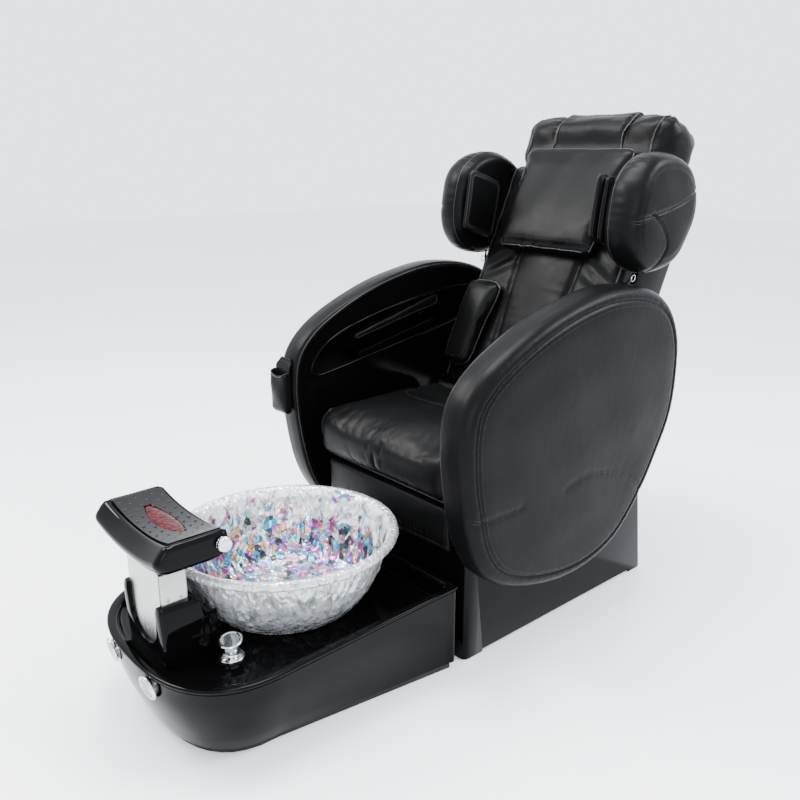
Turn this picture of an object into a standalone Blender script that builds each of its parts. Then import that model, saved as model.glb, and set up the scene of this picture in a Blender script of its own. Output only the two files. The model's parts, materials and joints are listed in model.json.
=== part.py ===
"""Pedicure spa chair: a reclining massage seat on a base, with a foot tub, bowl and tilting footrest.

Metres, +Z up, the sitter faces -Y. The origin is on the floor at the middle of the chair base.
"Left" is the sitter's left, which is +X.
"""

import math

import bmesh
import bpy
from mathutils import Matrix, Vector

GAP = 0.0003  # between pieces that touch
RUN = 0.0015  # running clearance of pieces that slide
LEFT, RIGHT = 1, -1
SIDES = ((LEFT, "left"), (RIGHT, "right"))

# Chair base
BASE_WIDTH = 0.592
BASE_LENGTH = 0.806
BASE_HEIGHT = 0.400
SKIRT_WALL = 0.006
SKIRT_LEAN = 0.060  # how far the rear panel leans in at the top
PLATE_THICK = 0.015
FRAME_SHEET = 0.005
HALF = BASE_WIDTH / 2
FRONT = -BASE_LENGTH / 2
REAR = BASE_LENGTH / 2

# Arms
ARM_THICK = 0.0985
ARM_WALL = 0.018
ARM_FRONT = -0.511
ARM_LENGTH = 0.876
ARM_BOTTOM = 0.172
ARM_HEIGHT = 0.778
ARM_ROUND_OUT = 0.042
ARM_ROUND_IN = 0.016
LINER_THICK = 0.010
TRAY_DEPTH = 0.066
TRAY_WALL = 0.005
ARM_IN = HALF + 0.0005
ARM_OUT = ARM_IN + ARM_THICK

# Seat
SEAT_WIDTH = 0.540
SEAT_LENGTH = 0.468
SEAT_FRONT = -0.448
SEAT_BOTTOM = 0.432
SEAT_THICK = 0.146
PAN_HALF = SEAT_WIDTH / 2 - 0.008
RAIL_X = PAN_HALF - 0.022  # middle of each slide rail
SLIDE_X = -0.110  # the slide actuator, beside the recline actuator
PAN_THICK = 0.005
PAN_BOTTOM = SEAT_BOTTOM - GAP - PAN_THICK

# Backrest, in its own directions: up the back and out of its front
PIVOT_Y = 0.085
PIVOT_Z = 0.485
BACK_TILT = math.radians(25.2)
BACK_WIDTH = 0.524
BACK_LENGTH = 0.965
BACK_START = 0.060
BACK_FRONT = 0.083
BACK_REAR = 0.150
BACK_TAPER = 0.078  # how far the shell stands out at its foot
CROWN_REAR = 0.092
CUSHION_THICK = 0.080
CROWN_LENGTH = 0.165
SHELL_WALL = 0.005
TUBE_RADIUS = 0.012
UPRIGHT_X = 0.200
UPRIGHT_SIZE = 0.025

# Foot tub
TUB_REAR = FRONT - 0.033
TUB_NOSE = TUB_REAR - 0.735
TUB_HALF = 0.300
TUB_RIM = 0.240  # rim height at the rear
TUB_DROP = 0.028  # how much lower the rim is at the nose
TUB_WALL = 0.006
TUB_FLARE = 0.056  # how much wider the rim is than the foot of the wall
TUB_SHOULDER = TUB_REAR - 0.494  # where the sides start to round into the nose
TUB_KICK = 0.022
LIP = 0.010
DECK_HEIGHT = 0.196
DECK_THICK = 0.004
NOSE_POWER = 2.6

# Foot bowl
BOWL_Y = TUB_REAR - 0.314
BOWL_HALF_X = 0.279
BOWL_HALF_Y = 0.290
BOWL_HEIGHT = 0.192
DRAIN_RADIUS = 0.018

# Footrest and its column
COLUMN_HALF = 0.083
COLUMN_FRONT = TUB_NOSE + 0.053
COLUMN_DEPTH = 0.064
COLUMN_TOP = 0.418
COLUMN_WALL = 0.002
SHROUD_TOP = 0.345
REST_HALF = 0.163
REST_DEPTH = 0.172
REST_Y = TUB_NOSE + 0.101
REST_BOTTOM = 0.437
REST_PIVOT_Z = 0.427
REST_THICK = 0.064
REST_RISE = 0.024  # how much higher its two ends are than its middle

# Controls on the tub
BUTTON_X = 0.094
BUTTON_Z = 0.176
BEZEL_RADIUS = 0.030
BUTTON_RADIUS = 0.019
MIXER_X = 0.137
MIXER_Y = TUB_NOSE + 0.182
MIXER_RADIUS = 0.017


def material(name, colour, roughness, metallic=0.0, alpha=1.0):
    made = bpy.data.materials.new(name)
    made.use_nodes = True
    shader = made.node_tree.nodes["Principled BSDF"]
    shader.inputs["Base Color"].default_value = (*colour, 1.0)
    shader.inputs["Roughness"].default_value = roughness
    shader.inputs["Metallic"].default_value = metallic
    shader.inputs["Alpha"].default_value = alpha
    return made


def clear_scene():
    for old in list(bpy.data.objects):
        bpy.data.objects.remove(old, do_unlink=True)


clear_scene()
BOARD = material("black_plywood", (0.020, 0.019, 0.018), 0.60)
LEATHER = material("black_leather", (0.016, 0.016, 0.017), 0.42)
SHELL = material("gloss_black_shell", (0.008, 0.008, 0.009), 0.10)
STAINLESS = material("brushed_stainless", (0.62, 0.61, 0.59), 0.32, 1.0)
CHROME = material("chrome", (0.80, 0.80, 0.81), 0.08, 1.0)
RESIN = material("clear_resin", (0.80, 0.86, 0.88), 0.08, 0.0, 0.4)
STEEL = material("painted_steel", (0.045, 0.047, 0.050), 0.50)
PLASTIC = material("black_plastic", (0.020, 0.020, 0.022), 0.38)
RED = material("red_lens", (0.200, 0.006, 0.012), 0.15)


# ---- Shape helpers -------------------------------------------------------------------------

def mesh_object(name, finish, bm):
    """Makes the one object of a node from a bmesh, with its faces turned outwards."""
    bmesh.ops.recalc_face_normals(bm, faces=bm.faces)
    mesh = bpy.data.meshes.new(name)
    bm.to_mesh(mesh)
    bm.free()
    mesh.materials.append(finish)
    mesh.shade_smooth()
    mesh.set_sharp_from_angle(angle=math.radians(35))
    made = bpy.data.objects.new(name, mesh)
    bpy.context.scene.collection.objects.link(made)
    return made


def loft(name, finish, rings, closed=False):
    """Skins a stack of rings of equal count. Open stacks are capped, closed ones join end to start."""
    bm = bmesh.new()
    rows = [[bm.verts.new(point) for point in ring] for ring in rings]
    count = len(rows[0])
    pairs = list(zip(rows, rows[1:]))
    if closed:
        pairs.append((rows[-1], rows[0]))
    for low, high in pairs:
        for i in range(count):
            j = (i + 1) % count
            bm.faces.new((low[i], low[j], high[j], high[i]))
    if not closed:
        bm.faces.new(rows[0][::-1])
        bm.faces.new(rows[-1])
    return mesh_object(name, finish, bm)


def prism(name, finish, outline, low, high, round_edge=0.0, steps=3, along="X"):
    """Extrudes a closed outline between two places along an axis, its end edges rounded."""
    def place(a, b, c):
        return {"X": (c, a, b), "Y": (a, c, b), "Z": (a, b, c)}[along]

    bm = bmesh.new()
    ends = [[bm.verts.new(place(a, b, c)) for a, b in outline] for c in (low, high)]
    count = len(outline)
    caps = [bm.faces.new(ends[0][::-1]), bm.faces.new(ends[1])]
    for i in range(count):
        j = (i + 1) % count
        bm.faces.new((ends[0][i], ends[0][j], ends[1][j], ends[1][i]))
    rounds = round_edge if isinstance(round_edge, tuple) else (round_edge, round_edge)
    for cap, edge_round in zip(caps, rounds):
        if edge_round:
            bmesh.ops.bevel(bm, geom=list(cap.edges), offset=edge_round, segments=steps, profile=0.5,
                            affect="EDGES")
    return mesh_object(name, finish, bm)


def box(name, finish, low, high, round_edge=0.0, steps=2):
    bm = bmesh.new()
    size = [high[i] - low[i] for i in range(3)]
    middle = [(high[i] + low[i]) / 2 for i in range(3)]
    bmesh.ops.create_cube(bm, size=1.0, matrix=Matrix.Translation(middle) @ Matrix.Diagonal((*size, 1.0)))
    if round_edge:
        bmesh.ops.bevel(bm, geom=bm.edges[:], offset=round_edge, segments=steps, profile=0.5, affect="EDGES")
    return mesh_object(name, finish, bm)


def turned(name, finish, profile, place, direction=(0, 0, 1), count=24):
    """A solid of revolution: (radius, height) pairs about an axis, closed at both ends."""
    turn = Vector((0, 0, 1)).rotation_difference(Vector(direction)).to_matrix()
    rings = []
    for radius, height in profile:
        ring = []
        for i in range(count):
            angle = 2 * math.pi * i / count
            local = Vector((radius * math.cos(angle), radius * math.sin(angle), height))
            ring.append(Vector(place) + turn @ local)
        rings.append(ring)
    return loft(name, finish, rings)


def rounded(corners, radius, steps=4):
    """An outline with its corners rounded, from (a, b) corners in order."""
    points = []
    count = len(corners)
    for i in range(count):
        here = Vector(corners[i])
        back = (Vector(corners[i - 1]) - here).normalized()
        ahead = (Vector(corners[(i + 1) % count]) - here).normalized()
        reach = radius / math.tan(back.angle(ahead) / 2)
        start, end = here + back * reach, here + ahead * reach
        for step in range(steps + 1):
            t = step / steps
            points.append(tuple(start.lerp(here, t).lerp(here.lerp(end, t), t)))
    return points


def smooth_loop(points, steps):
    """A closed smooth curve through the points, with this many steps from each to the next."""
    loop = []
    count = len(points)
    for i in range(count):
        a, b, c, d = (Vector(points[(i + k) % count]) for k in (-1, 0, 1, 2))
        for step in range(steps):
            t = step / steps
            loop.append(tuple(
                b + (c - a) * 0.5 * t + (a - b * 2.5 + c * 2 - d * 0.5) * t * t
                + (b * 1.5 - c * 1.5 + d * 0.5 - a * 0.5) * t * t * t
            ))
    return loop


def inset(outline, distance):
    """The outline moved inwards by a distance, for outlines that turn anticlockwise."""
    moved = []
    count = len(outline)
    for i in range(count):
        before, after = Vector(outline[i - 1]), Vector(outline[(i + 1) % count])
        run = (after - before).normalized()
        moved.append((outline[i][0] - run.y * distance, outline[i][1] + run.x * distance))
    return moved


def anticlockwise(outline):
    area = sum(a[0] * b[1] - b[0] * a[1] for a, b in zip(outline, outline[1:] + outline[:1]))
    return outline if area > 0 else outline[::-1]


def cut(target, cutter, operation="DIFFERENCE"):
    cutter.hide_render = True
    cutter.display_type = "WIRE"
    step = target.modifiers.new(cutter.name, "BOOLEAN")
    step.operation = operation
    step.object = cutter


def carry(name, place, *pieces):
    """An empty on a joint's axis, the parent of the pieces that move about it."""
    empty = bpy.data.objects.new(name, None)
    empty.location = place
    bpy.context.scene.collection.objects.link(empty)
    for piece in pieces:
        piece.data.transform(Matrix.Translation(-Vector(place)))
        piece.parent = empty
    return empty


def back(up, out):
    """(y, z) of a point this far up the backrest from its pivot, and this far out of its mid plane."""
    along = Vector((math.sin(BACK_TILT), math.cos(BACK_TILT)))
    normal = Vector((-math.cos(BACK_TILT), math.sin(BACK_TILT)))
    return tuple(Vector((PIVOT_Y, PIVOT_Z)) + along * up + normal * out)


# ---- Chair base ------------------------------------------------------------------------------

def rectangle_ring(half, front, rear, z, corner):
    outline = rounded([(-half, front), (half, front), (half, rear), (-half, rear)], corner, 3)
    return [(x, y, z) for x, y in outline]


def base():
    top = BASE_HEIGHT
    inner = HALF - SKIRT_WALL
    rings = [
        rectangle_ring(HALF, FRONT, REAR, 0.0, 0.020),
        rectangle_ring(HALF, FRONT, REAR - SKIRT_LEAN, top, 0.020),
        rectangle_ring(inner, FRONT + SKIRT_WALL, REAR - SKIRT_LEAN - SKIRT_WALL, top, 0.015),
        rectangle_ring(inner, FRONT + SKIRT_WALL, REAR - SKIRT_WALL, 0.0, 0.015),
    ]
    skirt = loft("base_skirt", SHELL, rings, closed=True)
    foot = 0.070
    side_arch = box("side_arch", PLASTIC, (-1, FRONT + foot, -0.01), (1, REAR - foot, 0.008))
    cross_arch = box("cross_arch", PLASTIC, (foot - HALF, -1, -0.01), (HALF - foot, 1, 0.008))
    cut(skirt, side_arch)
    cut(skirt, cross_arch)
    inlet_hole = box("inlet_hole", PLASTIC, (-0.075, REAR - 0.1, 0.066), (0.075, REAR + 0.05, 0.154))
    cut(skirt, inlet_hole)

    clear = 0.004
    loft("base_plate", BOARD, [rectangle_ring(inner - clear, FRONT + SKIRT_WALL + clear,
                                              REAR - SKIRT_WALL - clear, z, 0.014) for z in (0, PLATE_THICK)])
    side_top = PAN_BOTTOM - 0.045
    for side, word in SIDES:
        x = sorted((side * (RAIL_X - FRAME_SHEET / 2), side * (RAIL_X + FRAME_SHEET / 2)))
        box("frame_side_" + word, STEEL, (x[0], -0.330, PLATE_THICK + GAP), (x[1], 0.300, side_top))
    service_panel()
    return side_top


def service_panel():
    """The rear plate with a recessed mains inlet, in the skirt's opening."""
    lean = SKIRT_LEAN / BASE_HEIGHT
    outline = [(REAR - SKIRT_WALL - lean * z + out, z) for z, out in ((0.0665, 0.0), (0.1535, 0.0))]
    outline += [(y + SKIRT_WALL, z) for y, z in reversed(outline)]
    panel = prism("service_panel", PLASTIC, outline, -0.0745, 0.0745)
    socket = box("socket_recess", PLASTIC, (0.020, REAR - 0.0165, 0.098), (0.048, REAR + 0.05, 0.122))
    cut(panel, socket)
    for side, word in ((LEFT, "hot"), (RIGHT, "cold")):
        turned("water_inlet_" + word, CHROME, ((0.013, 0), (0.013, 0.010), (0.009, 0.010), (0.009, 0.030)),
               (-0.035 + side * 0.018, REAR - lean * 0.096 + GAP, 0.110), (0, 1, 0), 16)


def slide_parts(side_top):
    """Channels on the base, runners under the seat, and the two parts of the slide actuator."""
    runners = []
    floor, wall, height = 0.004, 0.004, 0.030
    for side, word in SIDES:
        near, far = side * (RAIL_X - 0.015), side * (RAIL_X + 0.015)
        low = side_top + GAP
        inner = [(near + side * wall, low + height), (near + side * wall, low + floor),
                 (far - side * wall, low + floor), (far - side * wall, low + height)]
        outline = [(near, low + height), (near, low), (far, low), (far, low + height)] + inner[::-1]
        prism("slide_rail_" + word, STEEL, outline, -0.350, 0.300, along="Y")
        x = sorted((near + side * (wall + RUN), far - side * (wall + RUN)))
        runners.append(box("slide_runner_" + word, STAINLESS, (x[0], -0.330, low + floor + RUN),
                           (x[1], 0.080, PAN_BOTTOM - GAP)))
    x, z = SLIDE_X, 0.330
    body = box("slide_actuator", PLASTIC, (x - 0.035, -0.080, z - 0.030), (x + 0.035, 0.160, z + 0.030), 0.006)
    cut(body, turned("slide_bore", PLASTIC, ((0.011, 0), (0.011, 0.225)), (x, -0.085, z), (0, 1, 0), 20))
    foot = box("slide_foot", PLASTIC, (x - 0.020, 0.100, PLATE_THICK + GAP), (x + 0.020, 0.150, z - 0.020))
    cut(body, foot, "UNION")
    rod = turned("slide_rod", STAINLESS, ((0.009, 0), (0.009, 0.160)), (x, -0.200, z), (0, 1, 0), 20)
    cut(rod, box("slide_rod_lug", STAINLESS, (x - 0.010, -0.210, z - 0.012),
                 (x + 0.010, -0.185, PAN_BOTTOM - GAP)), "UNION")
    return runners + [rod]


# ---- Arms ------------------------------------------------------------------------------------

def arm_outline():
    """The arm's side view, anticlockwise from the front, as shares of its length and height."""
    shares = ((0.006, 0.49), (0.052, 0.25), (0.135, 0.115), (0.290, 0.035), (0.510, 0.0), (0.700, 0.055),
              (0.815, 0.170), (0.905, 0.325), (0.975, 0.460), (1.0, 0.630), (0.985, 0.785), (0.925, 0.905),
              (0.810, 0.975), (0.650, 1.0), (0.500, 0.985), (0.330, 0.937), (0.175, 0.863), (0.068, 0.785),
              (0.008, 0.680))
    points = [(ARM_FRONT + ARM_LENGTH * a, ARM_BOTTOM + ARM_HEIGHT * b) for a, b in shares]
    return anticlockwise(smooth_loop(points, 3))


def tray_outline(grow=0.0):
    """The long recess in the arm's inner face: low and blunt in front, rising to the rear."""
    shares = ((0.082, 0.630), (0.150, 0.637), (0.550, 0.715), (0.790, 0.775), (0.850, 0.830), (0.780, 0.893),
              (0.560, 0.868), (0.300, 0.812), (0.140, 0.745), (0.075, 0.665))
    points = [(ARM_FRONT + ARM_LENGTH * a, ARM_BOTTOM + ARM_HEIGHT * b) for a, b in shares]
    return inset(anticlockwise(smooth_loop(points, 3)), -grow)


def arms():
    outline = arm_outline()
    hollow = inset(outline, ARM_WALL)
    for side, word in SIDES:
        shell = prism("arm_shell_" + word, LEATHER, outline, side * ARM_IN, side * ARM_OUT,
                      (ARM_ROUND_IN, ARM_ROUND_OUT), 4)
        cut(shell, prism("arm_hollow_" + word, PLASTIC, hollow, side * (ARM_IN - 0.05),
                         side * (ARM_OUT - ARM_WALL - 0.006)))
        liner = prism("arm_liner_" + word, SHELL, inset(hollow, 0.001), side * (ARM_IN + 0.002),
                      side * (ARM_IN + 0.002 + LINER_THICK))
        cut(liner, prism("tray_" + word, SHELL, tray_outline(TRAY_WALL), side * (ARM_IN + 0.004),
                         side * (ARM_IN + TRAY_DEPTH)), "UNION")
        cut(liner, prism("tray_hollow_" + word, SHELL, tray_outline(), side * (ARM_IN - 0.05),
                         side * (ARM_IN + TRAY_DEPTH - TRAY_WALL)))
        cut(liner, arm_pads(side, word), "UNION")


def arm_pads(side, word):
    """In each arm's recess: an upper airbag flap, and the moulded ledge under it, which is returned."""
    back_wall = ARM_IN + TRAY_DEPTH - TRAY_WALL - GAP
    y = ARM_FRONT + ARM_LENGTH * 0.26
    z = ARM_BOTTOM + ARM_HEIGHT * 0.740
    length, slope = ARM_LENGTH * 0.377, 0.242 * ARM_HEIGHT / ARM_LENGTH
    upper = [(y, z), (y + length, z + length * slope), (y + length, z + length * slope + ARM_HEIGHT * 0.0386),
             (y, z + ARM_HEIGHT * 0.0154)]
    prism("arm_airbag_" + word, LEATHER, upper, side * (ARM_IN + 0.004), side * back_wall, 0.005, 2)
    drop, thick = ARM_HEIGHT * 0.0797, ARM_HEIGHT * 0.0231
    lower = [(y + 0.02, z - drop), (y + length, z - drop + (length - 0.02) * slope),
             (y + length, z - drop + (length - 0.02) * slope + thick), (y + 0.02, z - drop + thick)]
    return prism("arm_ledge_" + word, SHELL, lower, side * (ARM_IN + 0.012), side * (back_wall + 0.002), 0.001, 1)


def remote_pocket():
    """An open-topped pocket on the right arm's front, with a tongue above it."""
    wall = 0.004
    x = (-ARM_OUT + 0.012, -ARM_IN - 0.010)
    front, rear, low, high = ARM_FRONT - 0.026, ARM_FRONT - GAP, 0.560, 0.685
    pocket = box("remote_pocket", LEATHER, (x[0], front, low), (x[1], rear, high), 0.006)
    cut(pocket, box("pocket_mouth", LEATHER, (x[0] + wall, front + wall, low + wall),
                    (x[1] - wall, rear - wall, high + 0.02)))


# ---- Seat ------------------------------------------------------------------------------------

def seat(side_top):
    half = SEAT_WIDTH / 2
    rear = SEAT_FRONT + SEAT_LENGTH
    cushion = box("seat_cushion", LEATHER, (-half, SEAT_FRONT, SEAT_BOTTOM),
                  (half, rear, SEAT_BOTTOM + SEAT_THICK), 0.035, 4)
    pan = box("seat_pan", STEEL, (-PAN_HALF, SEAT_FRONT + 0.040, PAN_BOTTOM), (PAN_HALF, 0.130, SEAT_BOTTOM - GAP))
    moving = [cushion, pan] + slide_parts(side_top)
    for side, word in SIDES:
        x = sorted((side * (PAN_HALF - 0.016), side * (PAN_HALF - 0.006)))
        foot = SEAT_BOTTOM - PAN_THICK / 2
        outline = rounded([(PIVOT_Y - 0.030, foot), (PIVOT_Y + 0.030, foot),
                           (PIVOT_Y + 0.022, PIVOT_Z + 0.026), (PIVOT_Y - 0.022, PIVOT_Z + 0.026)], 0.008, 3)
        cut(pan, prism("seat_ear_" + word, STEEL, outline, x[0], x[1]), "UNION")
        cut(pan, turned("ear_bore_" + word, STEEL, ((TUBE_RADIUS + 0.0005, -0.05), (TUBE_RADIUS + 0.0005, 0.05)),
                        (side * (PAN_HALF - 0.012), PIVOT_Y, PIVOT_Z), (1, 0, 0), 24))
    cut(pan, box("lever_slot", STEEL, (-0.015, PIVOT_Y - 0.085, PAN_BOTTOM - 0.01),
                 (0.015, PIVOT_Y + 0.020, SEAT_BOTTOM + 0.01)))
    z = LEVER_Z
    body = box("recline_actuator", PLASTIC, (-0.030, -0.330, z - 0.027), (0.030, -0.085, z + 0.027), 0.006)
    cut(body, box("recline_lug", PLASTIC, (-0.015, -0.300, z), (0.015, -0.250, PAN_BOTTOM - GAP)), "UNION")
    cut(body, turned("recline_bore", PLASTIC, ((0.011, -0.230), (0.011, 0.02)), (0, -0.085, z), (0, 1, 0), 20))
    moving.append(body)
    carry("seat_slide", (0, SEAT_FRONT, SEAT_BOTTOM), *moving)
    box("splash_panel", LEATHER, (0.010 - PAN_HALF, FRONT - 0.024, 0.312), (PAN_HALF - 0.010, FRONT - GAP, PAN_BOTTOM - 0.004), 0.007)


LEVER_LENGTH = 0.105
LEVER_Z = PIVOT_Z - LEVER_LENGTH


# ---- Backrest --------------------------------------------------------------------------------

def back_block(name, finish, x, up, out, round_edge, steps=3):
    corners = [back(up[0], out[0]), back(up[1], out[0]), back(up[1], out[1]), back(up[0], out[1])]
    return prism(name, finish, corners, x[0], x[1], round_edge, steps)


def backrest():
    half = BACK_WIDTH / 2
    split = BACK_LENGTH - CROWN_LENGTH
    seat_face = BACK_FRONT - CUSHION_THICK
    cushion_corners = [back(BACK_START, BACK_FRONT), back(split - GAP, BACK_FRONT),
                       back(split - GAP, seat_face), back(BACK_START, seat_face)]
    pieces = [prism("back_cushion", LEATHER, rounded(cushion_corners, 0.022), -half, half, 0.020)]
    crown_corners = [back(split, BACK_FRONT), back(BACK_LENGTH, BACK_FRONT),
                     back(BACK_LENGTH, -CROWN_REAR), back(split, -CROWN_REAR)]
    crown_outline = rounded(crown_corners, 0.030)
    pieces.append(prism("back_crown", LEATHER, crown_outline, -half, half, 0.024))

    def shell_outline(wall, past):
        return [back(up, out) for up, out in (
            (BACK_START - past, seat_face + past), (split - GAP - wall * 2, seat_face + past),
            (split - GAP - wall * 2, wall - BACK_REAR), (0.330, wall - BACK_REAR),
            (BACK_START - past, wall - BACK_TAPER + (BACK_REAR - BACK_TAPER) / (0.330 - BACK_START) * past))]

    shell = prism("back_shell", SHELL, anticlockwise(shell_outline(0.0, -GAP)), -half, half, 0.014)
    cut(shell, prism("shell_hollow", SHELL, shell_outline(SHELL_WALL, 0.050), SHELL_WALL - half, half - SHELL_WALL))
    pieces.append(shell)
    pieces += back_frame(split)
    for side, word in SIDES:
        pieces.append(lumbar_pad(side, word))
        pieces += wing(side, word)
    carry("back_pivot", (0, PIVOT_Y, PIVOT_Z), *pieces)
    massage_carriage()


def back_frame(split):
    """The pivot tube with its lever, and two uprights that the massage carriage runs between."""
    tube = turned("pivot_tube", STEEL, ((TUBE_RADIUS, -PAN_HALF), (TUBE_RADIUS, PAN_HALF)), (0, PIVOT_Y, PIVOT_Z),
                  (1, 0, 0), 24)
    lever = box("pivot_lever", STEEL, (-0.008, PIVOT_Y - 0.011, LEVER_Z - 0.008),
                (0.008, PIVOT_Y + 0.011, PIVOT_Z))
    cut(tube, lever, "UNION")
    made = [tube]
    half = UPRIGHT_SIZE / 2
    for side, word in SIDES:
        x = (side * UPRIGHT_X - half, side * UPRIGHT_X + half)
        made.append(back_block("back_upright_" + word, STEEL, x, (TUBE_RADIUS + GAP, split - 0.014),
                               (-0.012, -0.012 - UPRIGHT_SIZE), 0.0))
    return made


def lumbar_pad(side, word):
    """A side bolster at the waist, wider at its foot, standing out of the back cushion."""
    face = BACK_FRONT + GAP
    outline = rounded([(0.155, 0.120), (0.255, 0.120), (0.255, 0.395), (0.115, 0.395)], 0.020)
    thick = 0.045
    bm = bmesh.new()
    low = [bm.verts.new((side * x, *back(up, face))) for x, up in outline]
    high = [bm.verts.new((side * x, *back(up, face + thick))) for x, up in outline]
    count = len(outline)
    bm.faces.new(low[::-1])
    cap = bm.faces.new(high)
    for i in range(count):
        j = (i + 1) % count
        bm.faces.new((low[i], low[j], high[j], high[i]))
    bmesh.ops.bevel(bm, geom=list(cap.edges), offset=0.016, segments=3, profile=0.5, affect="EDGES")
    return mesh_object("lumbar_pad_" + word, LEATHER, bm)


def wing(side, word):
    """A shoulder wing with its two-layer airbag on the inner face, and the bracket that holds it."""
    inner = BACK_WIDTH / 2 + 0.001
    outer = inner + 0.116
    places = ((0.567, 0.252), (0.498, 0.198), (0.482, 0.111), (0.522, 0.025), (0.597, -0.023), (0.693, -0.028),
              (0.771, -0.005), (0.812, 0.058), (0.806, 0.153), (0.757, 0.240), (0.672, 0.275))
    outline = smooth_loop([back(up, out) for up, out in places], 3)
    pad = prism("wing_" + word, LEATHER, anticlockwise(outline), side * inner, side * outer, 0.030)
    bag_places = ((0.526, 0.209), (0.544, 0.101), (0.704, 0.136), (0.688, 0.252))
    bag_outline = rounded([back(up, out) for up, out in bag_places], 0.015)
    bag = prism("wing_airbag_" + word, LEATHER, bag_outline, side * (inner - GAP), side * (inner - 0.030), 0.006, 2)
    return [pad, bag]


def massage_carriage():
    """The roller carriage, behind the uprights that it runs up and down."""
    half = UPRIGHT_X + UPRIGHT_SIZE / 2
    start = 0.300
    body = back_block("massage_carriage", PLASTIC, (-half, half), (start, start + 0.110), (-0.056, -0.074), 0.004, 2)
    for side, word in SIDES:
        x = sorted((side * 0.045, side * 0.060))
        axle_place = back(start + 0.055, 0.035 - 0.060)
        ear = back_block("roller_ear_" + word, PLASTIC, x, (start + 0.040, start + 0.070), (-0.014, -0.060), 0.0)
        cut(body, ear, "UNION")
        axle = turned("roller_axle_" + word, PLASTIC, ((0.005, 0), (0.005, 0.045)),
                      (side * 0.050, *axle_place), (side, 0, 0), 16)
        cut(body, axle, "UNION")
    carry("carriage_slide", (0, *back(start, -0.065)), body)
    for side, word in SIDES:
        place = (side * 0.066, *back(start + 0.055, 0.035 - 0.060))
        ring = ((0.0056, 0), (0.022, 0), (0.026, 0.006), (0.026, 0.016), (0.022, 0.022), (0.0056, 0.022))
        rings = []
        for radius, height in ring:
            rings.append([(place[0] + side * height, place[1] + radius * math.cos(2 * math.pi * i / 20),
                           place[2] + radius * math.sin(2 * math.pi * i / 20)) for i in range(20)])
        carry("roller_spin_" + word, place, loft("massage_roller_" + word, PLASTIC, rings, closed=True))


def recline_rod():
    z = LEVER_Z
    start = PIVOT_Y - 0.011 - 0.010
    rod = turned("recline_rod", STAINLESS, ((0.009, 0), (0.009, 0.235)), (0, start, z), (0, -1, 0), 20)
    carry("recline_drive", (0, start, z), rod)


def head_pillow():
    """A pad that hangs on the backrest from a hinged flap at its top edge."""
    face = BACK_FRONT + 0.003
    top, low = 0.828, 0.508
    profile = [back(low + 0.006, face), back(top, face), back(top + 0.010, face + 0.012),
               back(top - 0.02, face + 0.034), back(low + 0.05, face + 0.058), back(low + 0.010, face + 0.062),
               back(low, face + 0.053), back(low, face + 0.008)]
    rings = []
    for share in (-1.0, -0.94, -0.5, 0.0, 0.5, 0.94, 1.0):
        squeeze = 0.012 if abs(share) == 1.0 else 0.0
        ring = []
        for y, z in profile:
            up = (z - PIVOT_Z) * math.cos(BACK_TILT) + (y - PIVOT_Y) * math.sin(BACK_TILT)
            half = 0.158 + 0.028 * (up - low) / (top - low)
            middle = back(up, face + 0.024)
            towards = Vector((middle[0] - y, middle[1] - z))
            lean = min(1.0, squeeze / max(towards.length, 1e-6))
            ring.append((share * half, y + towards.x * lean, z + towards.y * lean))
        rings.append(ring)
    pillow = loft("head_pillow", LEATHER, rings)
    carry("pillow_hinge", (0, *back(top + 0.006, face + 0.006)), pillow)


# ---- Foot tub --------------------------------------------------------------------------------

def rim_height(y):
    return TUB_RIM - TUB_DROP * (TUB_REAR - y) / (TUB_REAR - TUB_NOSE)


def tub_ring(height, narrow, move_in):
    """One ring of the tub: straight sides, then a blunt round nose. Narrow is 0 at the rim, 1 at the foot."""
    rear_half = TUB_HALF - move_in
    half = TUB_HALF - 0.006 - TUB_FLARE * narrow - move_in
    nose = TUB_NOSE + TUB_FLARE * 0.9 * narrow + move_in
    rear = TUB_REAR - move_in
    right = []
    side_steps, nose_steps = 4, 9
    for i in range(side_steps):
        t = i / side_steps
        right.append((rear_half + (half - rear_half) * t, rear + (TUB_SHOULDER - rear) * t))
    for i in range(nose_steps + 1):
        angle = math.pi / 2 * i / nose_steps
        right.append((half * abs(math.cos(angle)) ** (2 / NOSE_POWER) if i < nose_steps else 0.0,
                      TUB_SHOULDER - (TUB_SHOULDER - nose) * math.sin(angle) ** (2 / NOSE_POWER)))
    left = [(-x, y) for x, y in right[-2::-1]]
    return [(x, y, height(y) if callable(height) else height) for x, y in right + left]


def tub():
    def below_rim(drop):
        return lambda y: rim_height(y) - drop

    top = below_rim(LIP + 0.003)
    middle = 0.110
    rings = [tub_ring(TUB_KICK, 1.0, 0), tub_ring(0.060, 0.68, 0), tub_ring(middle, 0.36, 0),
             tub_ring(0.160, 0.13, 0), tub_ring(top, 0.0, 0),
             tub_ring(top, 0.0, TUB_WALL), tub_ring(0.160, 0.13, TUB_WALL), tub_ring(middle, 0.36, TUB_WALL),
             tub_ring(0.060, 0.68, TUB_WALL), tub_ring(TUB_KICK, 1.0, TUB_WALL)]
    skirt = loft("tub_skirt", SHELL, rings, closed=True)
    loft("tub_plinth", PLASTIC, [tub_ring(0.0, 1.05, 0.012), tub_ring(0.040, 1.05, 0.012)])
    deck = loft("tub_deck", SHELL, [
        tub_ring(DECK_HEIGHT - DECK_THICK, 0, 0.026), tub_ring(below_rim(LIP + 0.001), 0, 0.012),
        tub_ring(below_rim(LIP), 0, -0.003), tub_ring(below_rim(0.003), 0, -0.003),
        tub_ring(below_rim(0), 0, 0.002), tub_ring(below_rim(0.0005), 0, 0.017),
        tub_ring(below_rim(0.004), 0, 0.021), tub_ring(DECK_HEIGHT, 0, 0.030)])
    drain(deck)
    mixer(deck)
    buttons(skirt)
    pedestal()
    return deck


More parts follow.
